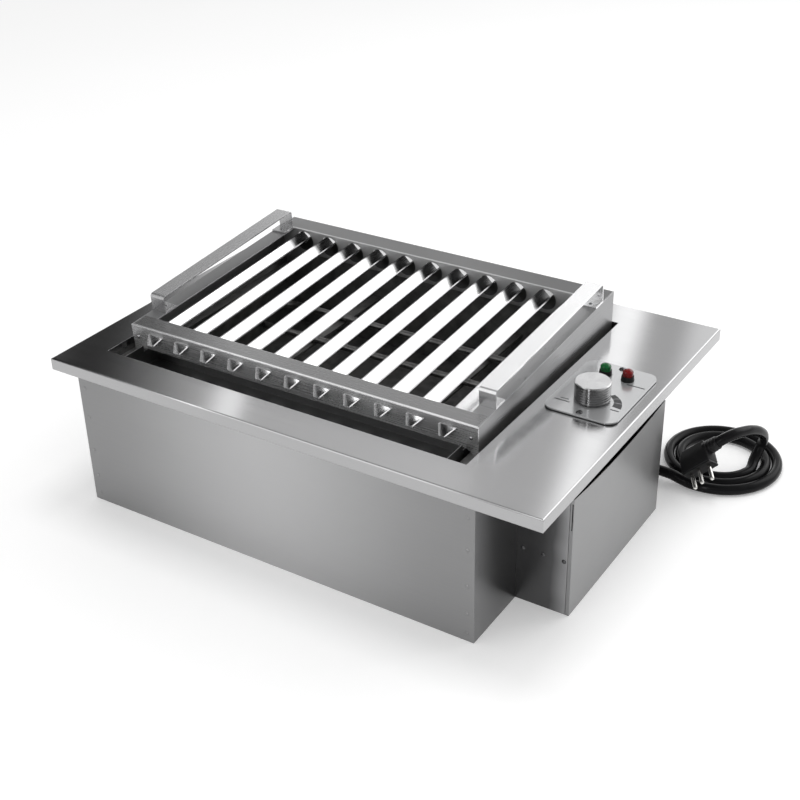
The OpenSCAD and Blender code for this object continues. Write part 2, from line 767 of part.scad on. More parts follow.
// Strap bent down at both ends, with feet turned in under it
module handle(s) in_grate() difference() {
    x = s * (grate_w / 2 - handle_w / 2);
    translate([x - handle_w / 2, 0, 0]) rotate([90, 0, 90]) linear_extrude(handle_w) handle_profile();
    at_handle_rivets(s) translate([0, 0, -2 * handle_t]) cylinder(d = grate_shank_d + 2 * fit_gap, h = 3 * handle_t);
}

module handle_profile() {
    slope = handle_rise / handle_l;
    inner_h = handle_h - handle_t * (norm([1, slope]) - slope);
    translate([handle_front + handle_l / 2, 0]) difference() {
        polygon(rising_strap(handle_l, 0, handle_h, handle_bend_r, slope));
        polygon(rising_strap(handle_l - 2 * handle_t, handle_t, inner_h, handle_bend_r - handle_t, slope));
        square([handle_l - 2 * handle_foot, 3 * handle_t], center = true);
    }
}

// Outline that stands on base and climbs from height h at its front, with rounded upper corners
function rising_strap(w, base, h, r, slope) =
    let (drop = r * (norm([1, slope]) - slope), lift = r * (norm([1, slope]) + slope))
    concat([[w / 2, base], [-w / 2, base]],
           bend_points([r - w / 2, h - drop], r, 180, 90 + atan(slope)),
           bend_points([w / 2 - r, h + slope * w - lift], r, 90 + atan(slope), 0));

function bend_points(c, r, a0, a1) =
    [for (i = [0:bend_steps]) c + r * [cos(a0 + (a1 - a0) * i / bend_steps), sin(a0 + (a1 - a0) * i / bend_steps)]];

module at_handle_rivets(s) {
    for (y = [handle_foot - handle_rivet_inset, handle_l - handle_foot + handle_rivet_inset])
        translate([s * (grate_w / 2 - handle_w / 2), handle_front + y, handle_t]) children();
}

module left_handle() color("lightgray") handle(-1);

module right_handle() color("lightgray") handle(1);

module grate_rivets() color("gray") in_grate() {
    for (s = [-1, 1]) {
        at_handle_rivets(s) dome_head(grate_rivet_d, 1, grate_shank_d, handle_t + grate_t);
        translate([s * (grate_w / 2 - grate_rivet_inset), 0, grate_rivet_z]) rotate([90, 0, 0])
            dome_head(grate_rivet_d, 1, grate_shank_d, 2 * grate_t);
    }
}

// Open pan below the spouts, its rear wall lower so that it passes under the grate's arch
module grease_trough() color("darkgray") difference() {
    translate([fire_x - trough_w / 2, trough_y0, trough_z0]) cube([trough_w, trough_d, trough_h]);
    translate([fire_x - trough_w / 2 + trough_t, trough_y0 + trough_t, trough_z0 + trough_t])
        cube([trough_w - 2 * trough_t, trough_d - 2 * trough_t, trough_h]);
    translate([fire_x - trough_w, grate_y0 - trough_step_gap, trough_z0 + trough_rear_h]) cube([2 * trough_w, trough_d, trough_h]);
}

// Controls

// Holes that the panel, its gasket and the deck share
module panel_holes(z, h) {
    translate([knob_x, knob_y, z]) cylinder(d = bush_d + 2 * fit_gap, h = h);
    for (s = [-1, 1]) {
        translate([lamp_x + s * lamp_pitch / 2, lamp_y, z]) cylinder(d = lens_d + 2 * fit_gap, h = h);
        translate([panel_x, panel_y + s * panel_screw_y, z]) cylinder(d = panel_screw_d + 2 * fit_gap, h = h);
    }
}

module panel_sheet(z, t) difference() {
    translate([panel_x, panel_y, z]) linear_extrude(t) round_rect(panel_w, panel_d, panel_r);
    panel_holes(z - e, t + 2 * e);
}

module control_panel() color("gainsboro") panel_sheet(panel_z, panel_t);

module panel_gasket() color("black") panel_sheet(deck_z, gasket_t);

module panel_screws() color("gray") {
    for (s = [-1, 1]) translate([panel_x, panel_y + s * panel_screw_y, panel_top])
        dome_head(7, 2.4, panel_screw_d, gasket_t + panel_t + deck_t + 4);
}

// Turned knob: chamfered rim, dished top, hollow below with a hub on the shaft
module knob() color("lightgray") translate([knob_x, knob_y, knob_z]) {
    r = knob_d / 2;
    wall = 3;
    top = 5;
    dish = 0.4;
    hub_z = nut_h - knob_gap + 1;
    bore = shaft_d / 2 + run_gap / 2;
    rotate_extrude($fn = 96) polygon([
        [0, knob_h - 3], [bore, knob_h - 3], [bore, hub_z], [bore + 3, hub_z], [bore + 3, knob_h - top],
        [r - wall, knob_h - top], [r - wall, 0], [r - 0.6, 0], [r, 0.6], [r, knob_h - 0.8],
        [r - 0.8, knob_h], [r - 2, knob_h], [0, knob_h - dish]]);
}

module thermostat_shaft() color("gray") translate([knob_x, knob_y, thermostat_z - 8])
    cylinder(d = shaft_d, h = knob_z + knob_h - 3.2 - thermostat_z + 8);

// Switch block hung below the deck by its threaded bush
module thermostat_body() color("tan") difference() {
    union() {
        translate([knob_x, knob_y, thermostat_z - thermostat_h / 2])
            cube([thermostat_w, thermostat_w, thermostat_h], center = true);
        translate([knob_x, knob_y, thermostat_z - e]) cylinder(d = shoulder_d, h = shoulder_h + e);
        translate([knob_x, knob_y, thermostat_z]) cylinder(d = bush_d, h = panel_top + nut_h - thermostat_z);
    }
    translate([knob_x, knob_y, thermostat_z - 9]) cylinder(d = shaft_d + 2 * run_gap, h = deck_z);
}

module thermostat_nut() color("gray") translate([knob_x, knob_y, panel_top]) difference() {
    cylinder(d = nut_af / cos(30), h = nut_h - 0.2, $fn = 6);
    translate([0, 0, -e]) cylinder(d = bush_d + run_gap, h = nut_h);
}

// Sensing bulb along the liner's wall, joined to the thermostat by a thin tube
module thermostat_capillary() color("peru") {
    bulb_x = fire_x + liner_w / 2 - bulb_d / 2 - liner_t - seat_gap;
    translate([bulb_x, capillary_y, capillary_z]) {
        rotate([0, 90, 0]) cylinder(d = capillary_d, h = knob_x - thermostat_w / 2 - bulb_x);
        rotate([90, 0, 0]) cylinder(d = bulb_d, h = bulb_l, center = true);
    }
}

// Lens with a low crown on a straight barrel that stands on its lamp body
module lens(s) translate([lamp_x + s * lamp_pitch / 2, lamp_y, under_deck - 2]) {
    r = lens_d / 2;
    h = panel_top + lens_h - under_deck + 2;
    crown_r = lens_crown * r;
    cylinder(r = r, h = h - crown_r);
    intersection() {
        translate([0, 0, h - crown_r]) sphere(crown_r, $fn = 64);
        cylinder(r = r, h = h);
    }
}

module green_lens() color("green") lens(-1);

module red_lens() color("firebrick") lens(1);

module lamp_bezels() color("black") {
    for (s = [-1, 1]) translate([lamp_x + s * lamp_pitch / 2, lamp_y, panel_top])
        difference() {
            cylinder(d1 = bezel_d, d2 = lens_d + 2 * (fit_gap + bezel_rim), h = bezel_h);
            translate([0, 0, -e]) cylinder(d = lens_d + 2 * fit_gap, h = bezel_h + 2 * e);
        }
}

module lamp_bodies() color("dimgray") {
    for (s = [-1, 1]) translate([lamp_x + s * lamp_pitch / 2, lamp_y, under_deck - 2]) {
        translate([0, 0, -24]) cylinder(d = lens_d, h = 24);
        ring(lens_d + 6, lens_d + 2 * fit_gap, 2);
        translate([0, 0, -1]) cylinder(d = lens_d + 6, h = 1);
    }
}

// Three-way block held behind the box's front by the row of screws
module terminal_block() color("white") difference() {
    translate([control_mid - 0.5, -control_y + casing_t + 9, screw_row_z])
        cube([2 * screw_pitch + 8, 18, 22], center = true);
    at_box_screws() translate([0, 0, -8]) cylinder(d = box_screw_d() + 2 * fit_gap, h = 9);
    for (i = [-1, 0, 1])
        translate([control_mid - 0.5 + i * screw_pitch, -control_y + casing_t + 12, screw_row_z])
            cylinder(d = 5, h = 40, center = true);
}

// Mains lead

function gland_neck_d() = cord_d + 3;

module at_outlet() {
    translate([casing_x1, outlet_y, outlet_z]) rotate([0, 90, 0]) children();
}

module cord_gland() color("black") at_outlet() {
    translate([0, 0, -casing_t - 5]) cylinder(d = gland_neck_d(), h = casing_t + 5 + e);
    cylinder(d = gland_d, h = gland_t);
    translate([0, 0, gland_t - e]) cylinder(d1 = cord_d + 6, d2 = cord_d + 2, h = relief_l + e);
}

module gland_nut() color("black") at_outlet() translate([0, 0, -casing_t - 4]) difference() {
    rotate([0, 0, 30]) cylinder(d = (gland_neck_d() + 2 * run_gap + 3) / cos(30), h = 4, $fn = 6);
    translate([0, 0, -e]) cylinder(d = gland_neck_d() + 2 * run_gap, h = 4 + 2 * e);
}

module cord_lead() color("black") {
    start = [relief_x, outlet_y, outlet_z];
    along = [for (p = lead_route) start + [p[0], 0, p[1] * (cord_r - outlet_z)]];
    tube(smooth(concat([start], along, [coil_point(0)]), [1, 0, 0], coil_way(0), 2), cord_r, 8, [1, 0, 0], coil_way(0));
}

module cord_coil() color("black") tube(coil_path, cord_r, 6, coil_way(0), coil_way(coil_turn));

module in_plug() {
    translate(plug_rear) rotate([plug_roll, plug_pitch, plug_heading]) children();
}

module cord_tail() color("black") {
    along = [for (p = tail_route) coil_mid + [p[0], p[1], p[2] * plug_rise]];
    route = concat([coil_point(coil_turn)], along, [plug_end]);
    tube(smooth(route, coil_way(coil_turn), -plug_side, 3), cord_r, 8, coil_way(coil_turn), -plug_side, [1, 0, 0]);
}

// Moulded plug: a broad grip with a flat nose, and a ribbed relief where the lead enters one side
module plug_body() color("black") in_plug() {
    nose = 16;
    hull() {
        plug_slice(plug_w - 6, plug_t - 5);
        translate([plug_l - nose, 0, 0]) plug_slice(plug_w, plug_t);
    }
    translate([plug_l - nose, 0, 0]) plug_slice(plug_w, plug_t, nose);
    translate([boss_x, plug_w / 2 - 4, 0]) rotate([-90, 0, 0]) cylinder(d1 = cord_d + 5, d2 = cord_d + 2, h = boss_l + 4);
    for (i = [1:2]) translate([boss_x, plug_w / 2 + i * boss_l / 3, 0]) rotate([-90, 0, 0])
        cylinder(d = cord_d + 4.5, h = 1.6);
}

module plug_slice(w, t, l = 1) {
    rotate([90, 0, 90]) linear_extrude(l) round_rect(w, t, t / 3, $fn = 32);
}

module plug_pins() color("gainsboro") in_plug() {
    for (i = [-1, 0, 1]) translate([plug_l, i * pin_offset, i == 0 ? earth_offset : 0])
        rotate([0, 90, 0]) {
            cylinder(d = pin_d, h = pin_l - pin_d / 2);
            translate([0, 0, pin_l - pin_d / 2]) sphere(d = pin_d);
        }
}

deck_plate();
casing_front();
casing_left();
casing_right();
casing_rear();
casing_bottom();
casing_rivets();
control_box_shell();
control_box_cover();
control_box_screws();
firebox_liner();
grate_ledge_left();
grate_ledge_right();
trough_ledge();
heating_element();
element_supports();
element_terminals();
element_collars();
grate_front_rail();
grate_rear_rail();
grate_left_side();
grate_right_side();
left_handle();
right_handle();
grate_rivets();
grease_trough();
control_panel();
panel_gasket();
panel_screws();
knob();
thermostat_shaft();
thermostat_body();
thermostat_nut();
thermostat_capillary();
green_lens();
red_lens();
lamp_bezels();
lamp_bodies();
terminal_block();
cord_gland();
gland_nut();
cord_lead();
cord_coil();
cord_tail();
plug_body();
plug_pins();
for (i = [0:bar_count - 1]) channel_bar(i);
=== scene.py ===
import json
import math

import bmesh
import bpy
from mathutils import Matrix, Vector


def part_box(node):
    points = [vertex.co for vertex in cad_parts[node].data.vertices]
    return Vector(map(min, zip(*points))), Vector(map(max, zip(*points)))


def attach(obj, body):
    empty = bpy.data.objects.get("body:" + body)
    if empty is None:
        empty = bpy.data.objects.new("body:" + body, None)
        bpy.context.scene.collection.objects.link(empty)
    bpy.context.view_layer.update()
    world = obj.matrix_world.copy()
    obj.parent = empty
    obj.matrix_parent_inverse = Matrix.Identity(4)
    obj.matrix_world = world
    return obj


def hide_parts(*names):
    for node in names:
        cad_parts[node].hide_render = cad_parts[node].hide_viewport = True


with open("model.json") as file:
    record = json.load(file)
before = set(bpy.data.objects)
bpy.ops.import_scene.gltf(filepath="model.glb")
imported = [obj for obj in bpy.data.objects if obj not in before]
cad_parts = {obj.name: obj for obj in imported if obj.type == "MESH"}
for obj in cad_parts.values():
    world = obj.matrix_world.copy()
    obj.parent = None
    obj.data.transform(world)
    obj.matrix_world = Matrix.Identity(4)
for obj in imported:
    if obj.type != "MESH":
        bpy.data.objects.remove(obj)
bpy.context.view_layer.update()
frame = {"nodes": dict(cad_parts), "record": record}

bl_info = {
    "name": "Built-in electric grill",
    "version": (1, 0, 0),
    "blender": (4, 5, 0),
    "location": "View3D > Sidebar > Grill",
    "description": "Dresses the packed grill: brushed steel, controls, mains lead and studio",
    "category": "Object",
}

NODES = frame["nodes"]
SLOT_OF = {s["node"]: s["material_slot"] for s in frame["record"]["subparts"]}
MM = 0.001
X_AXIS, Y_AXIS = 0, 1


def colour_prop(name, description, default):
    return bpy.props.FloatVectorProperty(
        name=name, description=description, default=default,
        size=3, subtype="COLOR", min=0.0, max=1.0)


def length_prop(name, description, default):
    return bpy.props.FloatProperty(
        name=name, description=description, default=default, unit="LENGTH", subtype="DISTANCE")


def share_prop(name, description, default):
    return bpy.props.FloatProperty(
        name=name, description=description, default=default, min=0.0, max=1.0, subtype="FACTOR")


def angle_prop(name, description, degrees):
    return bpy.props.FloatProperty(
        name=name, description=description, default=math.radians(degrees), subtype="ANGLE")


def place_prop(name, description, default):
    return bpy.props.FloatVectorProperty(
        name=name, description=description, default=default, size=3, subtype="XYZ", unit="LENGTH")


class GrillSteelSettings(bpy.types.PropertyGroup):
    """Colours and finish of the sheet steel."""

    deck: colour_prop("Deck", "Brushed steel of the deck", (0.43, 0.43, 0.434))
    casing: colour_prop("Casing", "Brushed steel of the casing", (0.37, 0.37, 0.373))
    # The wall towards the control box is a darker copy of the casing steel: painted shade.
    side: colour_prop("Casing side", "Steel of the wall towards the control box", (0.24, 0.24, 0.243))
    # The control box's front is a darker copy of the steel: painted shade.
    box: colour_prop("Control box", "Steel of the control box's front", (0.13, 0.13, 0.132))
    rails: colour_prop("Front rail", "Brushed face of the grate's front rail", (0.80, 0.80, 0.805))
    # The rear rail is a darker copy of the rail steel: painted shade.
    rear: colour_prop("Rear rail", "Heat-dulled face of the grate's rear rail", (0.46, 0.46, 0.463))
    grate: colour_prop("Grate sides", "Brushed steel of the grate's sides", (0.28, 0.28, 0.283))
    handles: colour_prop("Right handle", "Bright steel of the right handle", (0.80, 0.80, 0.805))
    # The left handle is a darker copy of the right handle's steel: painted shade.
    left_handle: colour_prop("Left handle", "Duller steel of the left handle", (0.46, 0.46, 0.464))
    bars: colour_prop("Bars", "Bright steel of the channel bars", (0.72, 0.72, 0.725))
    # The liner's dark tone is painted shade of the deep firebox.
    liner: colour_prop("Liner", "Heat-darkened steel inside the firebox", (0.20, 0.198, 0.196))
    trough: colour_prop("Trough", "Steel of the grease trough", (0.20, 0.20, 0.202))
    roughness: share_prop("Roughness", "Mean roughness of the brushed faces", 0.30)
    edge_radius: length_prop("Edge radius", "Rounding shown along cut sheet edges", 0.0006)


class GrillControlSettings(bpy.types.PropertyGroup):
    """Colours and sizes of the controls."""

    panel: colour_prop("Panel", "Printed film of the control panel", (0.47, 0.475, 0.48))
    marks: colour_prop("Marks", "Ink of the plain dial marks", (0.030, 0.030, 0.032))
    knob: colour_prop("Knob", "Turned aluminium of the knob's top", (0.54, 0.54, 0.545))
    green: colour_prop("Green lens", "Lens of the left pilot lamp", (0.002, 0.095, 0.02))
    red: colour_prop("Red lens", "Lens of the right pilot lamp", (0.12, 0.002, 0.003))
    mark_height: length_prop("Mark height", "Thickness of the printed marks", 0.00012)


class GrillLeadSettings(bpy.types.PropertyGroup):
    """The mains lead: the same route as the part's own solids."""

    diameter: length_prop("Diameter", "Diameter of the sheath", 0.0125)
    reach: length_prop("Reach", "How far the coil's middle lies from the strain relief", 0.054)
    coil_radius: length_prop("Coil radius", "Radius of the outer loop", 0.070)
    coil_step: length_prop("Coil step", "How far one loop lies inside the last", 0.0133)
    coil_turn: angle_prop("Coil turn", "Angle through which the loops run", 800)
    plug_place: place_prop("Plug place", "Middle of the plug's nose, from the coil's middle",
                           (0.0047, -0.0803, 0.02853))
    plug_turn: bpy.props.FloatVectorProperty(
        name="Plug turn", description="Roll, pitch and heading of the plug",
        default=(math.radians(50), math.radians(26), math.radians(-52)), size=3, subtype="EULER")
    black: colour_prop("Sheath", "Black of the sheath", (0.008, 0.008, 0.0085))


class GrillStageSettings(bpy.types.PropertyGroup):
    """Camera, floor and light."""

    eye: place_prop("Camera place", "Where the camera stands", (0.7265, -1.0987, 0.8736))
    azimuth: angle_prop("Azimuth", "Camera's angle round the object", 33.012)
    elevation: angle_prop("Elevation", "Camera's angle above the floor", 29.958)
    roll: angle_prop("Roll", "Camera's turn about its own axis", -1.29)
    lens: bpy.props.FloatProperty(
        name="Lens", description="Focal length on a 36 mm sensor", default=60.70, unit="CAMERA")
    floor: colour_prop("Floor", "Pale floor", (0.94, 0.94, 0.94))
    floor_lift: share_prop("Floor lift", "Brightness added to the floor where it is seen", 0.18)
    ambient: bpy.props.FloatProperty(
        name="Ambient", description="Strength of the even light from all sides", default=0.70)


SETTINGS = (
    ("grill_steel", GrillSteelSettings),
    ("grill_controls", GrillControlSettings),
    ("grill_lead", GrillLeadSettings),
    ("grill_stage", GrillStageSettings),
)

# Sockets of a Mix node that holds colours.
MIX_SHARE, MIX_FIRST, MIX_SECOND, MIX_RESULT = 0, 6, 7, 2


class Finish:
    """A material under construction: its tree, its main shader and short ways to add nodes."""

    def __init__(self, name):
        self.material = bpy.data.materials.new(name)
        self.material.use_nodes = True
        self.tree = self.material.node_tree
        self.shader = self.tree.nodes["Principled BSDF"]

    def set(self, **values):
        """Sets plain values on the shader's own sockets."""
        for key, value in values.items():
            self.shader.inputs[key.replace("_", " ")].default_value = value
        return self

    def add(self, kind, inputs=None, **attributes):
        """Adds a node, and links or sets its inputs."""
        node = self.tree.nodes.new(kind)
        for key, value in attributes.items():
            setattr(node, key, value)
        for key, value in (inputs or {}).items():
            if isinstance(value, bpy.types.NodeSocket):
                self.tree.links.new(value, node.inputs[key])
            else:
                node.inputs[key].default_value = value
        return node

    def link(self, socket, name):
        self.tree.links.new(socket, self.shader.inputs[name])

    def place(self, scale=(1, 1, 1), location=(0, 0, 0)):
        """Object coordinates, scaled and shifted."""
        coordinates = self.add("ShaderNodeTexCoord")
        mapping = self.add("ShaderNodeMapping", {
            "Vector": coordinates.outputs["Object"], "Scale": scale, "Location": location})
        return mapping.outputs["Vector"]

    def axes(self, scale=(1, 1, 1)):
        """The object coordinates one by one, as X, Y and Z."""
        return self.add("ShaderNodeSeparateXYZ", {0: self.place(scale)}).outputs

    def noise(self, vector, scale, detail=2.0, roughness=0.5):
        return self.add("ShaderNodeTexNoise", {
            "Vector": vector, "Scale": scale, "Detail": detail, "Roughness": roughness}).outputs["Fac"]

    def spread(self, value, low, high, start=0.3, end=0.7):
        """Passes from low to high while the value passes from start to end."""
        return self.add("ShaderNodeMapRange", {
            "Value": value, "From Min": start, "From Max": end,
            "To Min": low, "To Max": high}).outputs["Result"]

    def tint(self, share, first, second):
        """Passes between two colours, each of them plain or a pattern's own."""
        inputs = {MIX_SHARE: share}
        for socket, colour in ((MIX_FIRST, first), (MIX_SECOND, second)):
            inputs[socket] = colour if isinstance(colour, bpy.types.NodeSocket) else (*colour, 1)
        return self.add("ShaderNodeMix", inputs, data_type="RGBA").outputs[MIX_RESULT]

    def sum(self, a, b):
        return self.add("ShaderNodeMath", {0: a, 1: b}, operation="ADD").outputs[0]

    def product(self, a, b):
        return self.add("ShaderNodeMath", {0: a, 1: b}, operation="MULTIPLY").outputs[0]

    def mottle(self, pattern, dark, light):
        """Base colour that passes between two tones with a pattern."""
        self.link(self.tint(self.spread(pattern, 0, 1), dark, light), "Base Color")

    def uneven(self, pattern, low, high):
        """Roughness that passes between two levels with a pattern."""
        self.link(self.spread(pattern, low, high), "Roughness")

    def bump(self, height, strength, distance=0.0001, edge=0.0):
        """Fine relief, on edges that are shown rounded where a radius is given."""
        inputs = {"Height": height, "Strength": strength, "Distance": distance}
        if edge > 0:
            bevel = self.add("ShaderNodeBevel", {"Radius": edge}, samples=4)
            inputs["Normal"] = bevel.outputs["Normal"]
        self.link(self.add("ShaderNodeBump", inputs).outputs["Normal"], "Normal")


def shade(colour, factor):
    """A colour made darker or lighter."""
    return tuple(min(1.0, c * factor) for c in colour)


# How often the brush marks repeat per metre, across and along the stroke, and how uneven their gloss is.
BRUSH_ACROSS, BRUSH_ALONG, BRUSH_UNEVEN = 1500.0, 9.0, 0.03
# Share of a stretch of painted shade by which its border wanders.
SHADE_WANDER = 0.4


def brushed(name, colour, roughness, along, anisotropy=0.8, edge=0.0006, streak=0.016, smudge=0.04,
            reflection_band=0.0, shade_stretch=None, shade_share=0.11, across="Y", metallic=1.0):
    """Brushed sheet: fine streaks along one axis, faint smudges, and, where given, broad soft bands across
    them that are a painted reflection.

    Where a stretch of the axis across is given, the sheet darkens over it to a share of its colour: painted
    shade.
    """
    finish = Finish(name).set(Metallic=metallic, Anisotropic=anisotropy, Anisotropic_Rotation=0.25)
    scale = [BRUSH_ACROSS] * 3
    scale[along] = BRUSH_ALONG
    fine = finish.noise(finish.place(scale), scale=1.0, detail=3.0, roughness=0.6)
    wide = finish.noise(finish.place(), scale=7.0, detail=3.0, roughness=0.55)
    depth = streak + reflection_band
    half = 0.5 * streak / depth
    share = finish.spread(fine, 0.5 - half, 0.5 + half)
    # Painted reflection: broad soft bands in the base colour.
    if reflection_band > 0:
        reflection_bands = finish.add("ShaderNodeTexWave", {
            "Vector": finish.place(), "Scale": 0.63, "Phase Offset": 3.5, "Distortion": 0.4},
            bands_direction="XYZ"[along]).outputs["Fac"]
        half = 0.5 * reflection_band / depth
        share = finish.sum(share, finish.spread(reflection_bands, -half, half, 0, 1))
    hue = finish.tint(share, shade(colour, 1 - depth), shade(colour, 1 + depth))
    # Painted shade: the base colour darkens over the given stretch.
    if shade_stretch:
        start, end = shade_stretch
        wander = (end - start) * SHADE_WANDER
        shade_place = finish.sum(finish.axes()[across], finish.spread(wide, -wander, wander))
        hue = finish.tint(finish.spread(shade_place, 0, 1, start, end), hue, shade(colour, shade_share))
    finish.link(hue, "Base Color")
    gloss = finish.spread(fine, roughness - BRUSH_UNEVEN, roughness + BRUSH_UNEVEN)
    finish.link(finish.sum(gloss, finish.spread(wide, -smudge, smudge)), "Roughness")
    stroke = [0.0] * 3
    stroke[along] = 1.0
    tangent = finish.add("ShaderNodeCombineXYZ", dict(zip("XYZ", stroke)))
    finish.link(tangent.outputs[0], "Tangent")
    finish.bump(fine, strength=0.03, edge=edge)
    return finish.material


def moulded(name, colour, roughness, grain=900.0, depth=0.15, gloss=0.5, edge=0.0004):
    """Moulded plastic or rubber: fine skin grain and a slightly uneven gloss."""
    finish = Finish(name).set(Specular_IOR_Level=gloss)
    cloud = finish.noise(finish.place(), scale=40.0)
    finish.mottle(cloud, shade(colour, 0.85), shade(colour, 1.2))
    finish.uneven(cloud, roughness - 0.05, roughness + 0.07)
    finish.bump(finish.noise(finish.place(), scale=grain), strength=depth, edge=edge)
    return finish.material


def metal(name, colour, roughness, patch=None, edge=0.0003, metallic=1.0):
    """Plain metal for small pieces, with cloudy tarnish."""
    finish = Finish(name).set(Metallic=metallic)
    cloud = finish.noise(finish.place(), scale=90.0, detail=3.0, roughness=0.6)
    finish.mottle(cloud, patch or shade(colour, 0.86), shade(colour, 1.06))
    finish.uneven(cloud, roughness - 0.05, roughness + 0.08)
    finish.bump(finish.noise(finish.place(), scale=500.0), strength=0.08, edge=edge)
    return finish.material


def give(piece, material):
    """Puts one material on a piece in place of what it has."""
    piece.data.materials.clear()
    piece.data.materials.append(material)


def dress(material, *slots):
    """Gives a finish to every solid whose record slot is named."""
    for node, slot in SLOT_OF.items():
        if slot in slots:
            give(NODES[node], material)


MERGE, POLE_MERGE = 1e-6, 1e-7
SHARP_ANGLE = math.radians(35)


def finished(bm, name, material, smooth=True):
    """Turns a bmesh into an object at the origin, with clean outward faces."""
    bmesh.ops.remove_doubles(bm, verts=bm.verts, dist=MERGE)
    bmesh.ops.recalc_face_normals(bm, faces=bm.faces)
    mesh = bpy.data.meshes.new(name)
    bm.to_mesh(mesh)
    bm.free()
    if smooth:
        mesh.polygons.foreach_set("use_smooth", [True] * len(mesh.polygons))
        mesh.set_sharp_from_angle(angle=SHARP_ANGLE)
    piece = bpy.data.objects.new(name, mesh)
    bpy.context.scene.collection.objects.link(piece)
    mesh.materials.append(material)
    return piece


def carried(piece, body, slot, *replaced):
    """Fixes a piece to its body and hides the solids that it stands for; its slot is not used."""
    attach(piece, body)
    if replaced:
        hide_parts(*replaced)
    return piece


def turned(bm, profile, steps, matrix):
    """Spins a profile of (height, radius) pairs in mm about its axis, closed at both ends."""
    verts = [bm.verts.new((radius * MM, 0, height * MM)) for height, radius in profile]
    edges = [bm.edges.new(pair) for pair in zip(verts, verts[1:])]
    before = set(bm.verts)
    bmesh.ops.spin(bm, geom=verts + edges, axis=(0, 0, 1), cent=(0, 0, 0),
                   angle=2 * math.pi, steps=steps, use_merge=True)
    made = [v for v in bm.verts if v not in before] + verts
    bmesh.ops.remove_doubles(bm, verts=made, dist=POLE_MERGE)
    bmesh.ops.transform(bm, matrix=matrix, verts=[v for v in made if v.is_valid])


def rectangle(bm, width, depth, middle=(0, 0, 0)):
    """Adds a flat rectangle."""
    verts = bmesh.ops.create_grid(bm, x_segments=1, y_segments=1, size=0.5)["verts"]
    bmesh.ops.scale(bm, vec=(width, depth, 1), verts=verts)
    bmesh.ops.translate(bm, vec=middle, verts=verts)


def thicken(bm, faces, along):
    """Extrudes faces by a vector, and gives the vertices of the far side."""
    made = bmesh.ops.extrude_face_region(bm, geom=faces)["geom"]
    far = [item for item in made if isinstance(item, bmesh.types.BMVert)]
    bmesh.ops.translate(bm, vec=along, verts=far)
    return far


# Route of the lead, in mm: X from the outlet and share of the drop, steps of the loops, X and Y from
# the loops' middle and share of the rise to the plug, and how far the end is held in the plug's sleeve.
DROP = ((0, 0), (10, 0), (22, 0.14), (34, 0.64), (44, 0.95))
COIL_STEPS = 54
TAIL = ((38.5, 8, 0.085), (39.5, 17, 0.22), (42, 20.5, 0.41), (43.5, 15.5, 0.61),
        (43, 2.5, 0.81), (39.5, -15, 0.98), (34, -34, 1.09), (26, -51.5, 1.12))
SLEEVE_HOLD = 7.0
# Plug, in mm: its length, and the sleeve's axis from the rear and end from the middle.
PLUG_LENGTH = 30.0
SLEEVE_ALONG, SLEEVE_ACROSS = 9.0, 31.0


def coil_middle(settings):
    """Where the lead leaves its strain relief, and the middle of the loops on the floor."""
    low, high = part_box("cord_gland")
    outlet = Vector((high.x, (low.y + high.y) / 2, (low.z + high.z) / 2))
    middle = Vector((high.x + settings.reach, outlet.y + settings.coil_radius, settings.diameter / 2))
    return outlet, middle


def plug_frame(settings):
    """Frame of the plug: the origin at the middle of its rear, X along its axis to the pins."""
    nose = coil_middle(settings)[1] + Vector(settings.plug_place)
    roll, pitch, heading = settings.plug_turn
    turn = (Matrix.Rotation(heading, 4, "Z") @ Matrix.Rotation(pitch, 4, "Y")
            @ Matrix.Rotation(roll, 4, "X"))
    return Matrix.Translation(nose) @ turn @ Matrix.Translation((-PLUG_LENGTH * MM, 0, 0))


def lead_route(settings):
    """Points of the lead: outlet, drop to the floor, loops, and the rise into the side of the plug."""
    outlet, middle = coil_middle(settings)
    points = [outlet + Vector((x * MM, 0, share * (middle.z - outlet.z))) for x, share in DROP]
    for step in range(COIL_STEPS + 1):
        turn = settings.coil_turn * step / COIL_STEPS
        reach = settings.coil_radius - settings.coil_step * turn / (2 * math.pi)
        points.append(middle + Vector((reach * math.sin(turn), -reach * math.cos(turn), 0)))
    plug = plug_frame(settings)
    end = plug @ Vector((SLEEVE_ALONG * MM, SLEEVE_ACROSS * MM, 0))
    held = plug @ Vector((SLEEVE_ALONG * MM, (SLEEVE_ACROSS - SLEEVE_HOLD) * MM, 0))
    points += [middle + Vector((x * MM, y * MM, share * (end.z - middle.z))) for x, y, share in TAIL]
    return points + [end, held]


class GRILL_OT_camera(bpy.types.Operator):
    """Sets the camera at the photograph's angle"""

    bl_idname = "grill.camera"
    bl_label = "Camera"

    def execute(self, context):
        s = context.scene.grill_stage
        data = bpy.data.cameras.new("camera")
        data.lens = s.lens
        data.sensor_width = 36.0
        data.clip_end = 50.0
        camera = bpy.data.objects.new("camera", data)
        context.scene.collection.objects.link(camera)
        sin_a, cos_a = math.sin(s.azimuth), math.cos(s.azimuth)
        sin_e, cos_e = math.sin(s.elevation), math.cos(s.elevation)
        sin_r, cos_r = math.sin(s.roll), math.cos(s.roll)
        back = Vector((sin_a * cos_e, -cos_a * cos_e, sin_e))
        right = Vector((cos_a, sin_a, 0))
        up = back.cross(right)
        axes = Matrix((cos_r * right + sin_r * up, cos_r * up - sin_r * right, back))
        camera.matrix_world = Matrix.Translation(Vector(s.eye)) @ axes.transposed().to_4x4()
        context.scene.camera = camera
        context.scene.view_settings.view_transform = "Standard"
        return {"FINISHED"}


CORD_SMOOTHNESS = 6
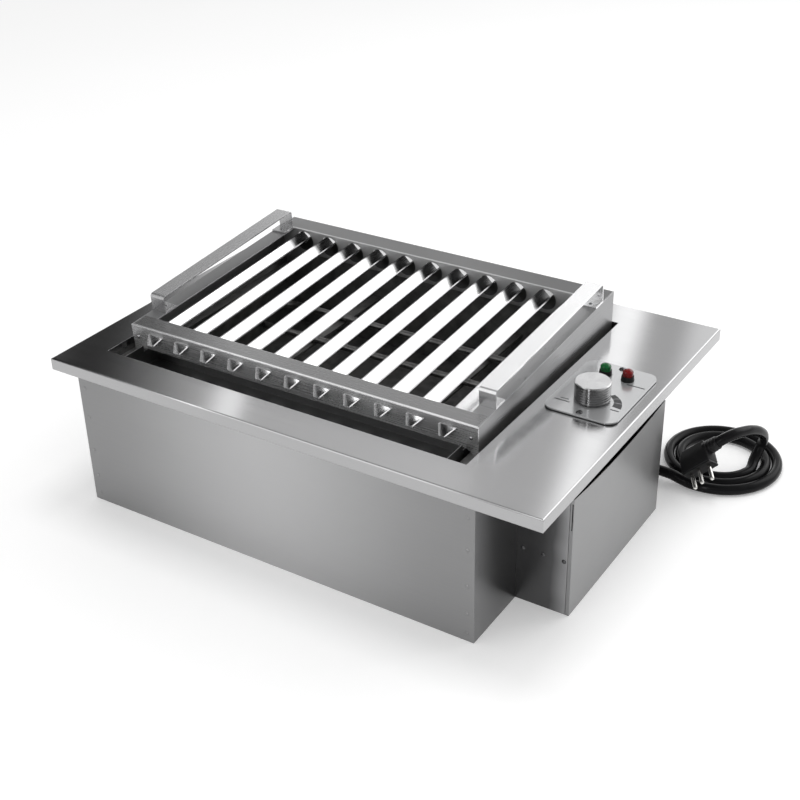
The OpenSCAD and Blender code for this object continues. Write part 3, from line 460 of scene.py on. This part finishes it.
# Plug's block, in mm: place from the rear, width and thickness of each section, then its nose and corners.
PLUG_SECTIONS = ((1, 32, 13), (7, 35.4, 15.8), (11, 37.2, 17.3), (14, 38, 18), (26.4, 38, 18),
                 (26.8, 37.2, 17.2), (27.6, 37.2, 17.2), (28, 38, 18), (30, 38, 18))
NOSE_RIM, NOSE_SINK = 1.4, 0.6
CORNER_ROUNDING, CORNER_RUN, CORNER_ASIDE = 3.2, 0.2, 14.0
CORNER_ANGLE = math.radians(30)
# Plug's sleeve, in mm from the plug's axis: (place, radius) of its collar and end, and for each point of
# its first rib the place, the radius and the radius lost from rib to rib.
SLEEVE_COLLAR = ((14, 0), (14, 8.75), (18, 8.75))
SLEEVE_RIB = ((18.6, 7.7, 0.2), (20.0, 7.6, 0.2), (20.4, 8.5, 0.3), (22.0, 8.4, 0.3))
SLEEVE_RIBS, SLEEVE_RIB_STEP, SLEEVE_SIDES = 3, 4.0, 28
SLEEVE_END = ((31, 7.25), (31, 0))


class GRILL_OT_lead(bpy.types.Operator):
    """Lays the mains lead and makes its plug"""

    bl_idname = "grill.lead"
    bl_label = "Mains lead and plug"

    def execute(self, context):
        s = context.scene.grill_lead
        points = lead_route(s)
        sheath = moulded("lead_sheath", s.black, 0.16, grain=350.0, depth=0.01, gloss=0.09, edge=0.0)
        curve = bpy.data.curves.new("mains_lead", "CURVE")
        curve.dimensions = "3D"
        curve.bevel_depth = s.diameter / 2
        curve.bevel_resolution = curve.resolution_u = CORD_SMOOTHNESS
        curve.use_fill_caps = True
        line = curve.splines.new("BEZIER")
        line.bezier_points.add(len(points) - 1)
        for knot, point in zip(line.bezier_points, points):
            knot.co = point
            knot.handle_left_type = knot.handle_right_type = "AUTO"
        curve.materials.append(sheath)
        lead = bpy.data.objects.new("mains_lead", curve)
        context.scene.collection.objects.link(lead)
        carried(lead, "grill", "cord_rubber", "cord_lead", "cord_coil", "cord_tail")
        plug = self.plug(plug_frame(s))
        dress(metal("plated_pins", (0.80, 0.79, 0.76), 0.18), "pin_metal")
        give(NODES["cord_gland"], moulded("gland_rubber", (0.018, 0.018, 0.018), 0.42))
        return {"FINISHED"}

    def plug(self, place):
        """Moulded plug: a block that tapers to its rear, and a ribbed sleeve out of one side."""
        rubber = moulded("plug_rubber", (0.010, 0.010, 0.0105), 0.34, grain=500.0, depth=0.08, gloss=0.25)
        bm = bmesh.new()
        self.block(bm)
        self.sleeve(bm)
        bmesh.ops.transform(bm, matrix=place, verts=bm.verts)
        return carried(finished(bm, "plug", rubber), "grill", "plug_rubber", "plug_body")

    def block(self, bm):
        """Block drawn out from section to section, with a sunk nose, a groove and rounded corners."""
        x, width, thickness = PLUG_SECTIONS[0]
        cube = bmesh.ops.create_cube(bm, size=1.0)["verts"]
        bmesh.ops.scale(bm, vec=(MM, width * MM, thickness * MM), verts=cube)
        bmesh.ops.translate(bm, vec=((x - 0.5) * MM, 0, 0), verts=cube)
        face = max(bm.faces, key=lambda f: f.calc_center_median().x)
        for (x0, w0, t0), (x1, w1, t1) in zip(PLUG_SECTIONS, PLUG_SECTIONS[1:]):
            face = bmesh.ops.extrude_discrete_faces(bm, faces=[face])["faces"][0]
            bmesh.ops.translate(bm, vec=((x1 - x0) * MM, 0, 0), verts=face.verts)
            bmesh.ops.scale(bm, vec=(1, w1 / w0, t1 / t0), verts=face.verts)
        bmesh.ops.inset_individual(bm, faces=[face], thickness=NOSE_RIM * MM, depth=0)
        bmesh.ops.translate(bm, vec=(-NOSE_SINK * MM, 0, 0), verts=face.verts)
        rear = min(bm.faces, key=lambda f: f.calc_center_median().x)
        rounded = [e for e in bm.edges if e in rear.edges or self.is_corner(e)]
        bmesh.ops.bevel(bm, geom=rounded, offset=CORNER_ROUNDING * MM, offset_type="OFFSET",
                        affect="EDGES", segments=4, profile=0.5, material=-1, clamp_overlap=True)

    def is_corner(self, edge):
        """Tells a corner that runs along the block from the edges that go round it."""
        first, last = (vert.co for vert in edge.verts)
        return (abs(first.x - last.x) > CORNER_RUN * MM and abs(first.y) > CORNER_ASIDE * MM
                and edge.calc_face_angle(0) > CORNER_ANGLE)

    def sleeve(self, bm):
        """Round sleeve with ribs that get smaller towards the lead."""
        profile = list(SLEEVE_COLLAR)
        for rib in range(SLEEVE_RIBS):
            profile += [(x + rib * SLEEVE_RIB_STEP, radius - rib * loss) for x, radius, loss in SLEEVE_RIB]
        profile += SLEEVE_END
        aside = Matrix.Rotation(math.radians(-90), 4, "X")
        turned(bm, profile, SLEEVE_SIDES, Matrix.Translation((SLEEVE_ALONG * MM, 0, 0)) @ aside)


# Control box's front: how much lighter its sheet is painted by the fold, as a painted reflection, the share
# that is left away from it, and the stretch between, in metres from the fold.
FOLD_PAINTED_REFLECTION, FOLD_SHADED_SHARE, FOLD_STRETCH = 2.6, 0.34, (0.006, 0.022)


class GRILL_OT_outer_steel(bpy.types.Operator):
    """Finishes the deck, the casing and the control box"""

    bl_idname = "grill.outer_steel"
    bl_label = "Deck and casing"

    def execute(self, context):
        s = context.scene.grill_steel
        edge, rough, smooth = s.edge_radius, s.roughness + 0.03, s.roughness - 0.16
        deck = brushed("deck_steel", s.deck, smooth, X_AXIS, anisotropy=0.97, smudge=0.02, edge=edge)
        # The casing's left side and the box cover take a darker copy of the casing steel: painted shade.
        side = brushed("casing_side_painted_shade", shade(s.casing, 0.82), rough, Y_AXIS, edge=edge)
        dress(deck, "deck_steel")
        # The casing's broad bands are a painted reflection.
        dress(brushed("casing_steel", s.casing, rough, X_AXIS, edge=edge, reflection_band=0.26), "casing_steel")
        for node in ("casing_left", "control_box_cover"):
            give(NODES[node], side)
        # Painted shade: a darker copy of the casing steel on the wall under the deck.
        give(NODES["casing_right"], brushed("inner_side_painted_shade", s.side, rough, Y_AXIS, edge=edge))
        give(NODES["control_box_shell"], self.box_painted_reflection(s.box, rough, edge))
        dress(metal("bright_fasteners", (0.42, 0.42, 0.43), 0.22), "fastener_steel")
        give(NODES["casing_rivets"], metal("flush_rivets", shade(s.casing, 0.78), 0.34))
        # The box's screws take a share of its darkened tone, so they carry that painted shade.
        give(NODES["control_box_screws"], metal("box_screws", shade(s.box, 0.75), 0.36))
        return {"FINISHED"}

    def box_painted_reflection(self, colour, roughness, edge):
        """Sheet of the control box, with a painted reflection along its right-hand fold."""
        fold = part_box("control_box_shell")[1].x
        near, far = FOLD_STRETCH
        return brushed("box_painted_reflection", shade(colour, FOLD_PAINTED_REFLECTION), roughness, X_AXIS, edge=edge,
                       shade_stretch=(fold - near, fold - far), shade_share=FOLD_SHADED_SHARE, across="X")


class GRILL_OT_firebox(bpy.types.Operator):
    """Finishes the liner, the ledges, the element and the trough"""

    bl_idname = "grill.firebox"
    bl_label = "Firebox"

    def execute(self, context):
        s = context.scene.grill_steel
        # Painted shade: the liner's dark tone stands for the shade inside the firebox.
        dress(metal("painted_shade_liner", s.liner, 0.45, patch=shade(s.liner, 0.55),
                    edge=s.edge_radius, metallic=0.5), "liner_steel")
        dress(brushed("trough_steel", s.trough, 0.34, X_AXIS, edge=s.edge_radius), "trough_steel")
        dress(metal("element_sheath", (0.30, 0.297, 0.294), 0.30, patch=(0.20, 0.198, 0.196)),
              "element_sheath")
        dress(metal("brass_collars", (0.60, 0.44, 0.20), 0.3), "brass")
        dress(metal("copper_tube", (0.62, 0.34, 0.22), 0.3), "copper")
        dress(moulded("glazed_ceramic", (0.80, 0.78, 0.72), 0.3, grain=250.0, depth=0.05), "ceramic")
        return {"FINISHED"}


GRATE_TILT = math.radians(3.4)
# Stretches, in metres from a rail's face, over which its flange and the bars' rear ends darken: painted
# shade.
FLANGE_PAINTED_SHADE, BAR_END_PAINTED_SHADE = (0.0018, 0.0028), (-0.024, -0.014)
# Rear rail's holes and the plates that close them, in mm: sheet, half a bar's width, how far the bar's
# edges lie below the rail's corner, how far the hole's middle lies below them, and the gap to the bar.
RAIL_SHEET, BAR_HALF, BAR_DROP, HOLE_SINK, SADDLE_GAP = 1.5, 10.0, 7.5, 7.5, 0.3
SADDLE_STEPS = 24


class GRILL_OT_grate(bpy.types.Operator):
    """Finishes the grate, its channel bars and its handles"""

    bl_idname = "grill.grate"
    bl_label = "Grate"

    def execute(self, context):
        s = context.scene.grill_steel
        edge, smooth = s.edge_radius, s.roughness - 0.04
        face, web = (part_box(node)[0].y for node in ("grate_front_rail", "grate_rear_rail"))
        # Both rails darken towards their flanges as painted shade.
        front = self.rail_steel("rail_steel", s.rails, s.roughness - 0.02, face,
                                edge=2 * edge, metallic=0.92, shade_share=0.31)
        rear = self.rail_steel("rear_rail_steel", s.rear, s.roughness + 0.06, web,
                               edge=2 * edge, metallic=0.6, shade_share=0.36)
        side = brushed("side_steel", s.grate, s.roughness + 0.02, Y_AXIS, edge=edge, streak=0.006)
        # The bars darken towards their rear ends as painted shade under the rear rail's flange.
        bright = brushed("bar_steel", s.bars, smooth, Y_AXIS, edge=edge / 4,
                         shade_stretch=[web + reach for reach in BAR_END_PAINTED_SHADE])
        polished = brushed("handle_steel", s.handles, smooth, Y_AXIS, edge=edge)
        by_ending = {"rail": front, "side": side, "handle": polished}
        for node, slot in SLOT_OF.items():
            if slot == "grate_steel":
                give(NODES[node], by_ending.get(node.split("_")[-1], bright))
        give(NODES["grate_rear_rail"], rear)
        # Painted shade: the left handle takes a darker copy of the handle steel.
        give(NODES["left_handle"], brushed("left_handle_painted_shade", s.left_handle, smooth, Y_AXIS, edge=edge))
        # The plates below the bars take a darker copy of the rear rail's steel: painted shade.
        self.saddles(brushed("saddle_painted_shade", shade(s.rear, 0.4), s.roughness + 0.06, X_AXIS, edge=edge))
        return {"FINISHED"}

    def rail_steel(self, name, colour, roughness, face, edge, metallic, shade_share):
        """Sheet of a rail, whose flange is painted darker than its face: painted shade."""
        return brushed(name, colour, roughness, X_AXIS, edge=edge, streak=0.008, metallic=metallic,
                       shade_stretch=[face + reach for reach in FLANGE_PAINTED_SHADE], shade_share=shade_share)

    def saddles(self, steel):
        """Half-moon plates that close the rear rail's round holes below the bars."""
        low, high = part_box("grate_rear_rail")
        flange = (high.y - low.y) / math.cos(GRATE_TILT)
        corner = Vector((0, low.y, high.z - flange * math.sin(GRATE_TILT)))
        lean = Matrix.Rotation(GRATE_TILT, 4, "X")
        half, sink, drop, gap = BAR_HALF * MM, HOLE_SINK * MM, BAR_DROP * MM, SADDLE_GAP * MM
        radius = math.hypot(half, sink)
        start = math.asin(sink / radius)
        arc = [start - (math.pi + 2 * start) * k / SADDLE_STEPS for k in range(SADDLE_STEPS + 1)]
        outline = [(radius * math.cos(a), radius * math.sin(a) - sink - gap) for a in arc]
        outline.append((0, -half - gap))
        bm = bmesh.new()
        for node in sorted(n for n in SLOT_OF if n.startswith("v_bar_")):
            first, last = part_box(node)
            place = Matrix.Translation(corner + Vector(((first.x + last.x) / 2, 0, 0))) @ lean
            plate = bm.faces.new([bm.verts.new((x, 0, z - drop)) for x, z in outline])
            far = thicken(bm, [plate], (0, RAIL_SHEET * MM, 0))
            bmesh.ops.transform(bm, matrix=place, verts=far + list(plate.verts))
        carried(finished(bm, "bar_saddles", steel), "grate", "grate_steel")


# Knob, in mm: depth of its cap over the hollow and over the shaft, wall, hub, dish, chamfers and gaps,
# then its rings, with (height, depth) of each groove's points. Its side is painted darker than its top as
# painted shade: it keeps a share of the top's brightness, from the stretch below the top where it darkens.
KNOB_CAP, KNOB_SHAFT_CAP, KNOB_WALL, KNOB_HUB, KNOB_DISH = 5.0, 3.0, 3.0, 3.0, 0.4
KNOB_FOOT_CHAMFER, KNOB_RIM_CHAMFER, KNOB_RIM = 0.6, 0.8, 2.0
KNOB_BORE_GAP, KNOB_NUT_GAP, KNOB_SIDES = 0.1, 1.0, 96
KNOB_RINGS, KNOB_FIRST_RING, KNOB_RING_STEP = 6, 2.0, 2.8
KNOB_GROOVE = ((0.0, 0.0), (0.3, 0.35), (0.6, 0.35), (0.9, 0.0))
KNOB_SIDE_SHADE, KNOB_SHADE_STRETCH = 0.42, (1.4, 0.9)
# Dial wedge, in metres: parts and the gap at each end of one, the radii that are spun, the radius that
# tells the inner from the outer edge, and each edge's radius at the first and the last angle.
DIAL_START, DIAL_SWEEP = math.radians(-9), math.radians(60)
DIAL_PARTS, DIAL_GAP, DIAL_STEPS = 3, 0.05, 10
DIAL_SPUN, DIAL_SPLIT = (0.02, 0.03), 0.025
DIAL_INNER, DIAL_OUTER = (0.0238, 0.0195), (0.0338, 0.0250)
# Plain bars beside the controls, in mm: X, Y, width and depth.
MARK_BARS = ((221, -20.2, 17, 1.5), (222, -15.6, 9, 1.3), (275.5, -13, 9, 1.5), (274, 42, 20, 1.5))


class GRILL_OT_controls(bpy.types.Operator):
    """Finishes the panel and lamps, turns the knob's rings and prints the plain dial marks"""

    bl_idname = "grill.controls"
    bl_label = "Controls"

    def execute(self, context):
        s = context.scene.grill_controls
        aluminium = self.spun(s.knob)
        dress(self.film(s.panel), "panel_grey")
        dress(moulded("gasket_rubber", (0.02, 0.02, 0.02), 0.6), "gasket_rubber")
        dress(moulded("black_plastic", (0.012, 0.012, 0.012), 0.38, gloss=0.2), "black_plastic")
        dress(moulded("switch_block", (0.55, 0.51, 0.43), 0.5), "thermostat_plastic")
        dress(self.lens("green_lens", s.green), "green_lens")
        dress(self.lens("red_lens", s.red), "red_lens")
        dress(aluminium, "knob_aluminium")
        self.knob(aluminium)
        give(NODES["panel_screws"], metal("panel_screws", (0.10, 0.10, 0.102), 0.24))
        self.marks(s)
        return {"FINISHED"}

    def film(self, colour):
        """Printed film of the panel: a fine even grain under a clear coat."""
        finish = Finish("panel_film").set(Coat_Weight=0.5, Coat_Roughness=0.05, Metallic=0.55)
        grain = finish.noise(finish.place(), scale=1600.0)
        finish.mottle(grain, shade(colour, 0.985), shade(colour, 1.015))
        finish.uneven(grain, 0.20, 0.26)
        finish.bump(grain, strength=0.01, edge=0.0004)
        return finish.material

    def lens(self, name, colour):
        """Clear coloured lens of a pilot lamp."""
        finish = Finish(name).set(Coat_Weight=0.25, Coat_Roughness=0.03,
                                  Specular_IOR_Level=0.25, Subsurface_Weight=0.25)
        cloud = finish.noise(finish.place(), scale=260.0)
        finish.mottle(cloud, shade(colour, 0.8), shade(colour, 1.25))
        finish.uneven(cloud, 0.10, 0.16)
        return finish.material

    def spun(self, colour):
        """Turned aluminium: fine marks round the knob's axis, and a side painted darker than the top as
        painted shade.
        """
        low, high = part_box("knob")
        finish = Finish("spun_aluminium").set(Metallic=1.0, Anisotropic=0.75, Anisotropic_Rotation=0.25)
        rings = finish.add("ShaderNodeTexWave", {
            "Vector": finish.place(location=-(low + high) / 2), "Scale": 900.0, "Distortion": 2.0,
            "Detail": 2.0}, wave_type="RINGS", rings_direction="Z").outputs["Fac"]
        hue = finish.tint(rings, shade(colour, 0.92), shade(colour, 1.04))
        # Painted shade: the side darkens below the top.
        start, end = (high.z - depth * MM for depth in KNOB_SHADE_STRETCH)
        side = finish.spread(finish.axes()["Z"], 1, 0, start, end)
        finish.link(finish.tint(side, hue, shade(colour, KNOB_SIDE_SHADE)), "Base Color")
        finish.link(finish.spread(rings, 0.20, 0.27, 0, 1), "Roughness")
        tangent = finish.add("ShaderNodeTangent", direction_type="RADIAL", axis="Z")
        finish.link(tangent.outputs[0], "Tangent")
        finish.bump(rings, strength=0.012, distance=0.0003, edge=0.00015)
        return finish.material

    def knob(self, aluminium):
        """Turned knob: ringed side, chamfered rim, dished top, hollow below with a hub on the shaft."""
        low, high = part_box("knob")
        shaft_low, shaft_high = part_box("thermostat_shaft")
        radius, height = (high.x - low.x) / 2 / MM, (high.z - low.z) / MM
        bore = (shaft_high.x - shaft_low.x) / 2 / MM + KNOB_BORE_GAP
        foot = (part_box("thermostat_nut")[1].z - low.z) / MM + KNOB_NUT_GAP
        hollow, shaft_top = height - KNOB_CAP, height - KNOB_SHAFT_CAP
        inside, hub = radius - KNOB_WALL, bore + KNOB_HUB
        profile = [(shaft_top, 0), (shaft_top, bore), (foot, bore), (foot, hub), (hollow, hub),
                   (hollow, inside), (0, inside), (0, radius - KNOB_FOOT_CHAMFER),
                   (KNOB_FOOT_CHAMFER, radius)]
        for ring in range(KNOB_RINGS):
            start = KNOB_FIRST_RING + ring * KNOB_RING_STEP
            profile += [(start + up, radius - depth) for up, depth in KNOB_GROOVE]
        profile += [(height - KNOB_RIM_CHAMFER, radius), (height, radius - KNOB_RIM_CHAMFER),
                    (height, radius - KNOB_RIM), (height - KNOB_DISH, 0)]
        bm = bmesh.new()
        axis = Matrix.Translation(((low.x + high.x) / 2, (low.y + high.y) / 2, low.z))
        turned(bm, profile, KNOB_SIDES, axis)
        carried(finished(bm, "ringed_knob", aluminium), "knob", "knob_aluminium", "knob")

    def marks(self, s):
        """A dial wedge that widens clockwise, and short plain bars beside the controls."""
        ink = moulded("dial_ink", s.marks, 0.45, grain=800.0, depth=0.05, edge=0.0)
        low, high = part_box("knob")
        axis = (low + high) / 2
        axis.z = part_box("control_panel")[1].z
        bm = bmesh.new()
        self.wedge(bm, axis)
        for x, y, width, depth in MARK_BARS:
            rectangle(bm, width * MM, depth * MM, (x * MM, y * MM, axis.z))
        thicken(bm, bm.faces[:], (0, 0, s.mark_height))
        carried(finished(bm, "dial_marks", ink, smooth=False), "grill", "gasket_rubber")

    def wedge(self, bm, axis):
        """Parts of the wedge, spun about the knob's axis and then drawn to the radii of its edges."""
        step = DIAL_SWEEP / DIAL_PARTS
        for part in range(DIAL_PARTS):
            first = DIAL_START + (part + DIAL_GAP) * step
            ray = Vector((math.cos(first), math.sin(first), 0))
            ends = [bm.verts.new(axis + radius * ray) for radius in DIAL_SPUN]
            bmesh.ops.spin(bm, geom=ends + [bm.edges.new(ends)], axis=(0, 0, 1), cent=axis,
                           angle=(1 - 2 * DIAL_GAP) * step, steps=DIAL_STEPS)
        for vert in bm.verts:
            away = (vert.co - axis).xy
            share = (math.atan2(away.y, away.x) - DIAL_START) / DIAL_SWEEP
            start, end = DIAL_INNER if away.length < DIAL_SPLIT else DIAL_OUTER
            vert.co.x, vert.co.y = axis.xy + away.normalized() * (start + share * (end - start))


FLOOR_SIZE = 14.0
# Lamps: name, place, aim, width, height and power, and whether the steel mirrors it.
LAMPS = (
    ("overhead", (0.15, 0.15, 2.4), (0.15, 0.15, 0.1), 0.7, 0.7, 11.0, False),
    ("rear_softbox", (1.12, 1.85, 1.45), (0.0, 0.0, 0.2), 1.7, 1.7, 15.0, True),
    ("front_strip", (0.30, -2.0, 1.0), (0.25, 0.0, 0.2), 0.25, 1.2, 6.0, True),
)
TENT_RADIUS, TENT_FOOT = 6.0, 0.01
# Brightness of the tent from its left to its right, by the X of the direction.
TENT_SHADES = (
    (-1.0, 0.60), (-0.78, 0.45),
    (-0.715, 0.12), (-0.69, 0.03), (-0.67, 0.05), (-0.645, 0.20),  # dark curtain
    (-0.62, 0.50), (-0.597, 0.66),
    (-0.590, 1.75), (-0.579, 1.75),  # narrow strip
    (-0.572, 0.74), (-0.50, 0.84), (-0.43, 0.94), (-0.395, 0.98), (-0.365, 0.82), (-0.322, 0.80),
    (-0.312, 1.4), (-0.304, 2.1), (-0.288, 2.1),  # wide strip
    (-0.276, 0.72), (-0.25, 0.72),
    (-0.235, 1.3), (0.1, 1.25), (1.0, 0.8),  # pale right-hand side
)
# Share of the brightness in front and overhead, and the stretches of Y and Z where it changes.
TENT_FRONT, TENT_FRONT_STRETCH = 0.40, (-0.1, 0.25)
TENT_ZENITH, TENT_ZENITH_STRETCH = 0.4, (0.7, 0.95)
# Patches added at the front left and low on the left, by the stretches where they come or go.
FRONT_PATCH_X, FRONT_PATCH_Y, FRONT_PATCH_Z = (-0.35, -0.2), (-0.35, -0.2), (0.35, 0.45)
LOW_PATCH, LOW_PATCH_X, LOW_PATCH_Z = 1.5, (-0.385, -0.345), (0.41, 0.45)


class GRILL_OT_stage(bpy.types.Operator):
    """Sets the pale floor, the even surround, the soft lamps and the studio tent"""

    bl_idname = "grill.stage"
    bl_label = "Stage"

    def execute(self, context):
        s = context.scene.grill_stage
        self.surround(context, s)
        self.floor(s)
        self.tent()
        for lamp in LAMPS:
            self.lamp(*lamp)
        return {"FINISHED"}

    def seen(self, tree, other, level):
        """One strength for rays that see a surface, and another for rays that gather its light."""
        path = tree.nodes.new("ShaderNodeLightPath")
        seen = path.outputs["Is Camera Ray"]
        for ray in ("Is Glossy Ray", "Is Transmission Ray"):
            either = tree.nodes.new("ShaderNodeMath")
            either.operation = "MAXIMUM"
            tree.links.new(seen, either.inputs[0])
            tree.links.new(path.outputs[ray], either.inputs[1])
            seen = either.outputs[0]
        strength = tree.nodes.new("ShaderNodeMapRange")
        tree.links.new(seen, strength.inputs["Value"])
        strength.inputs["To Min"].default_value = other
        strength.inputs["To Max"].default_value = level
        return strength.outputs["Result"]

    def surround(self, context, s):
        """Even white surround, seen at full strength and dimmer as light."""
        world = bpy.data.worlds.new("surround")
        context.scene.world = world
        world.use_nodes = True
        tree = world.node_tree
        back = tree.nodes["Background"]
        back.inputs["Color"].default_value = (1, 1, 1, 1)
        tree.links.new(self.seen(tree, s.ambient, 1.0), back.inputs["Strength"])

    def staged(self, bm, name):
        """Turns a bmesh into a piece of the stage."""
        mesh = bpy.data.meshes.new(name)
        bm.to_mesh(mesh)
        bm.free()
        piece = bpy.data.objects.new(name, mesh)
        bpy.context.scene.collection.objects.link(piece)
        return piece

    def floor(self, s):
        """Pale floor, a little brighter where it is seen than where it lights the object."""
        bm = bmesh.new()
        rectangle(bm, FLOOR_SIZE, FLOOR_SIZE)
        finish = Finish("pale_floor").set(Roughness=0.9, Specular_IOR_Level=0.0, Emission_Color=(1, 1, 1, 1))
        cloud = finish.noise(finish.place(), scale=3.0)
        finish.mottle(cloud, shade(s.floor, 0.995), shade(s.floor, 1.005))
        finish.link(self.seen(finish.tree, 0.0, s.floor_lift), "Emission Strength")
        give(self.staged(bm, "floor"), finish.material)

    def tent(self):
        """Studio tent that only the gloss shows: a dark curtain and two bright strips at the left."""
        bm = bmesh.new()
        bmesh.ops.create_uvsphere(bm, u_segments=64, v_segments=32, radius=TENT_RADIUS)
        bmesh.ops.bisect_plane(bm, geom=bm.verts[:] + bm.edges[:] + bm.faces[:],
                               plane_co=(0, 0, TENT_FOOT), plane_no=(0, 0, 1), clear_inner=True)
        tent = self.staged(bm, "tent")
        give(tent, self.cloth())
        tent.visible_camera = False
        tent.visible_diffuse = False
        tent.visible_shadow = False

    def cloth(self):
        """Glowing cloth of the tent, shaded by direction."""
        finish = Finish("tent_cloth")
        direction = finish.axes((1 / TENT_RADIUS,) * 3)
        left, right = TENT_SHADES[0][0], TENT_SHADES[-1][0]
        share = finish.spread(direction["X"], 0, 1, left, right)
        ramp = finish.add("ShaderNodeValToRGB", {"Fac": share})
        elements = ramp.color_ramp.elements
        while len(elements) < len(TENT_SHADES):
            elements.new(0.5)
        for element, (x, level) in zip(elements, TENT_SHADES):
            element.position = (x - left) / (right - left)
            element.color = (level, level, level, 1)
        strength = self.cloth_strength(finish, direction)
        glow = finish.add("ShaderNodeEmission", {"Color": ramp.outputs["Color"], "Strength": strength})
        finish.tree.links.new(glow.outputs[0], finish.tree.nodes["Material Output"].inputs["Surface"])
        finish.material.cycles.emission_sampling = "NONE"
        return finish.material

    def cloth_strength(self, finish, direction):
        """Less light in front and overhead, and two patches at the left."""
        behind = finish.spread(direction["Y"], TENT_FRONT, 1, *TENT_FRONT_STRETCH)
        below = finish.spread(direction["Z"], 1, TENT_ZENITH, *TENT_ZENITH_STRETCH)
        left = finish.spread(direction["X"], 1, 0, *FRONT_PATCH_X)
        front = finish.spread(direction["Y"], 1, 0, *FRONT_PATCH_Y)
        raised = finish.spread(direction["Z"], 0, 1, *FRONT_PATCH_Z)
        front_patch = finish.product(finish.product(left, front), raised)
        far_left = finish.spread(direction["X"], 1, 0, *LOW_PATCH_X)
        low = finish.spread(direction["Z"], LOW_PATCH, 0, *LOW_PATCH_Z)
        return finish.sum(finish.sum(finish.product(behind, below), front_patch),
                          finish.product(far_left, low))

    def lamp(self, name, place, aim, width, height, power, mirrored):
        """Soft rectangular lamp that the camera doesn't see."""
        data = bpy.data.lights.new(name, "AREA")
        data.shape = "RECTANGLE"
        data.size = width
        data.size_y = height
        data.energy = power
        lamp = bpy.data.objects.new(name, data)
        bpy.context.scene.collection.objects.link(lamp)
        lamp.location = place
        lamp.rotation_euler = (Vector(place) - Vector(aim)).to_track_quat("Z", "Y").to_euler()
        lamp.visible_camera = False
        lamp.visible_glossy = mirrored


OPERATORS = (
    GRILL_OT_camera,
    GRILL_OT_lead,
    GRILL_OT_outer_steel,
    GRILL_OT_firebox,
    GRILL_OT_grate,
    GRILL_OT_controls,
    GRILL_OT_stage,
)


class GRILL_PT_sidebar(bpy.types.Panel):
    """Lists the grill's steps and settings"""

    bl_idname = "GRILL_PT_sidebar"
    bl_label = "Built-in electric grill"
    bl_space_type = "VIEW_3D"
    bl_region_type = "UI"
    bl_category = "Grill"

    def draw(self, context):
        for operator in OPERATORS:
            self.layout.operator(operator.bl_idname)
        for name, group in SETTINGS:
            box = self.layout.box()
            box.label(text=group.__doc__)
            for key in group.__annotations__:
                box.prop(getattr(context.scene, name), key)


def register():
    for name, group in SETTINGS:
        bpy.utils.register_class(group)
        setattr(bpy.types.Scene, name, bpy.props.PointerProperty(type=group))
    for cls in (*OPERATORS, GRILL_PT_sidebar):
        bpy.utils.register_class(cls)


def unregister():
    for cls in reversed((*OPERATORS, GRILL_PT_sidebar)):
        bpy.utils.unregister_class(cls)
    for name, group in reversed(SETTINGS):
        delattr(bpy.types.Scene, name)
        bpy.utils.unregister_class(group)


def main():
    register()
    for operator in OPERATORS:
        group, name = operator.bl_idname.split(".")
        getattr(getattr(bpy.ops, group), name)()


if __name__ == "__main__":
    main()
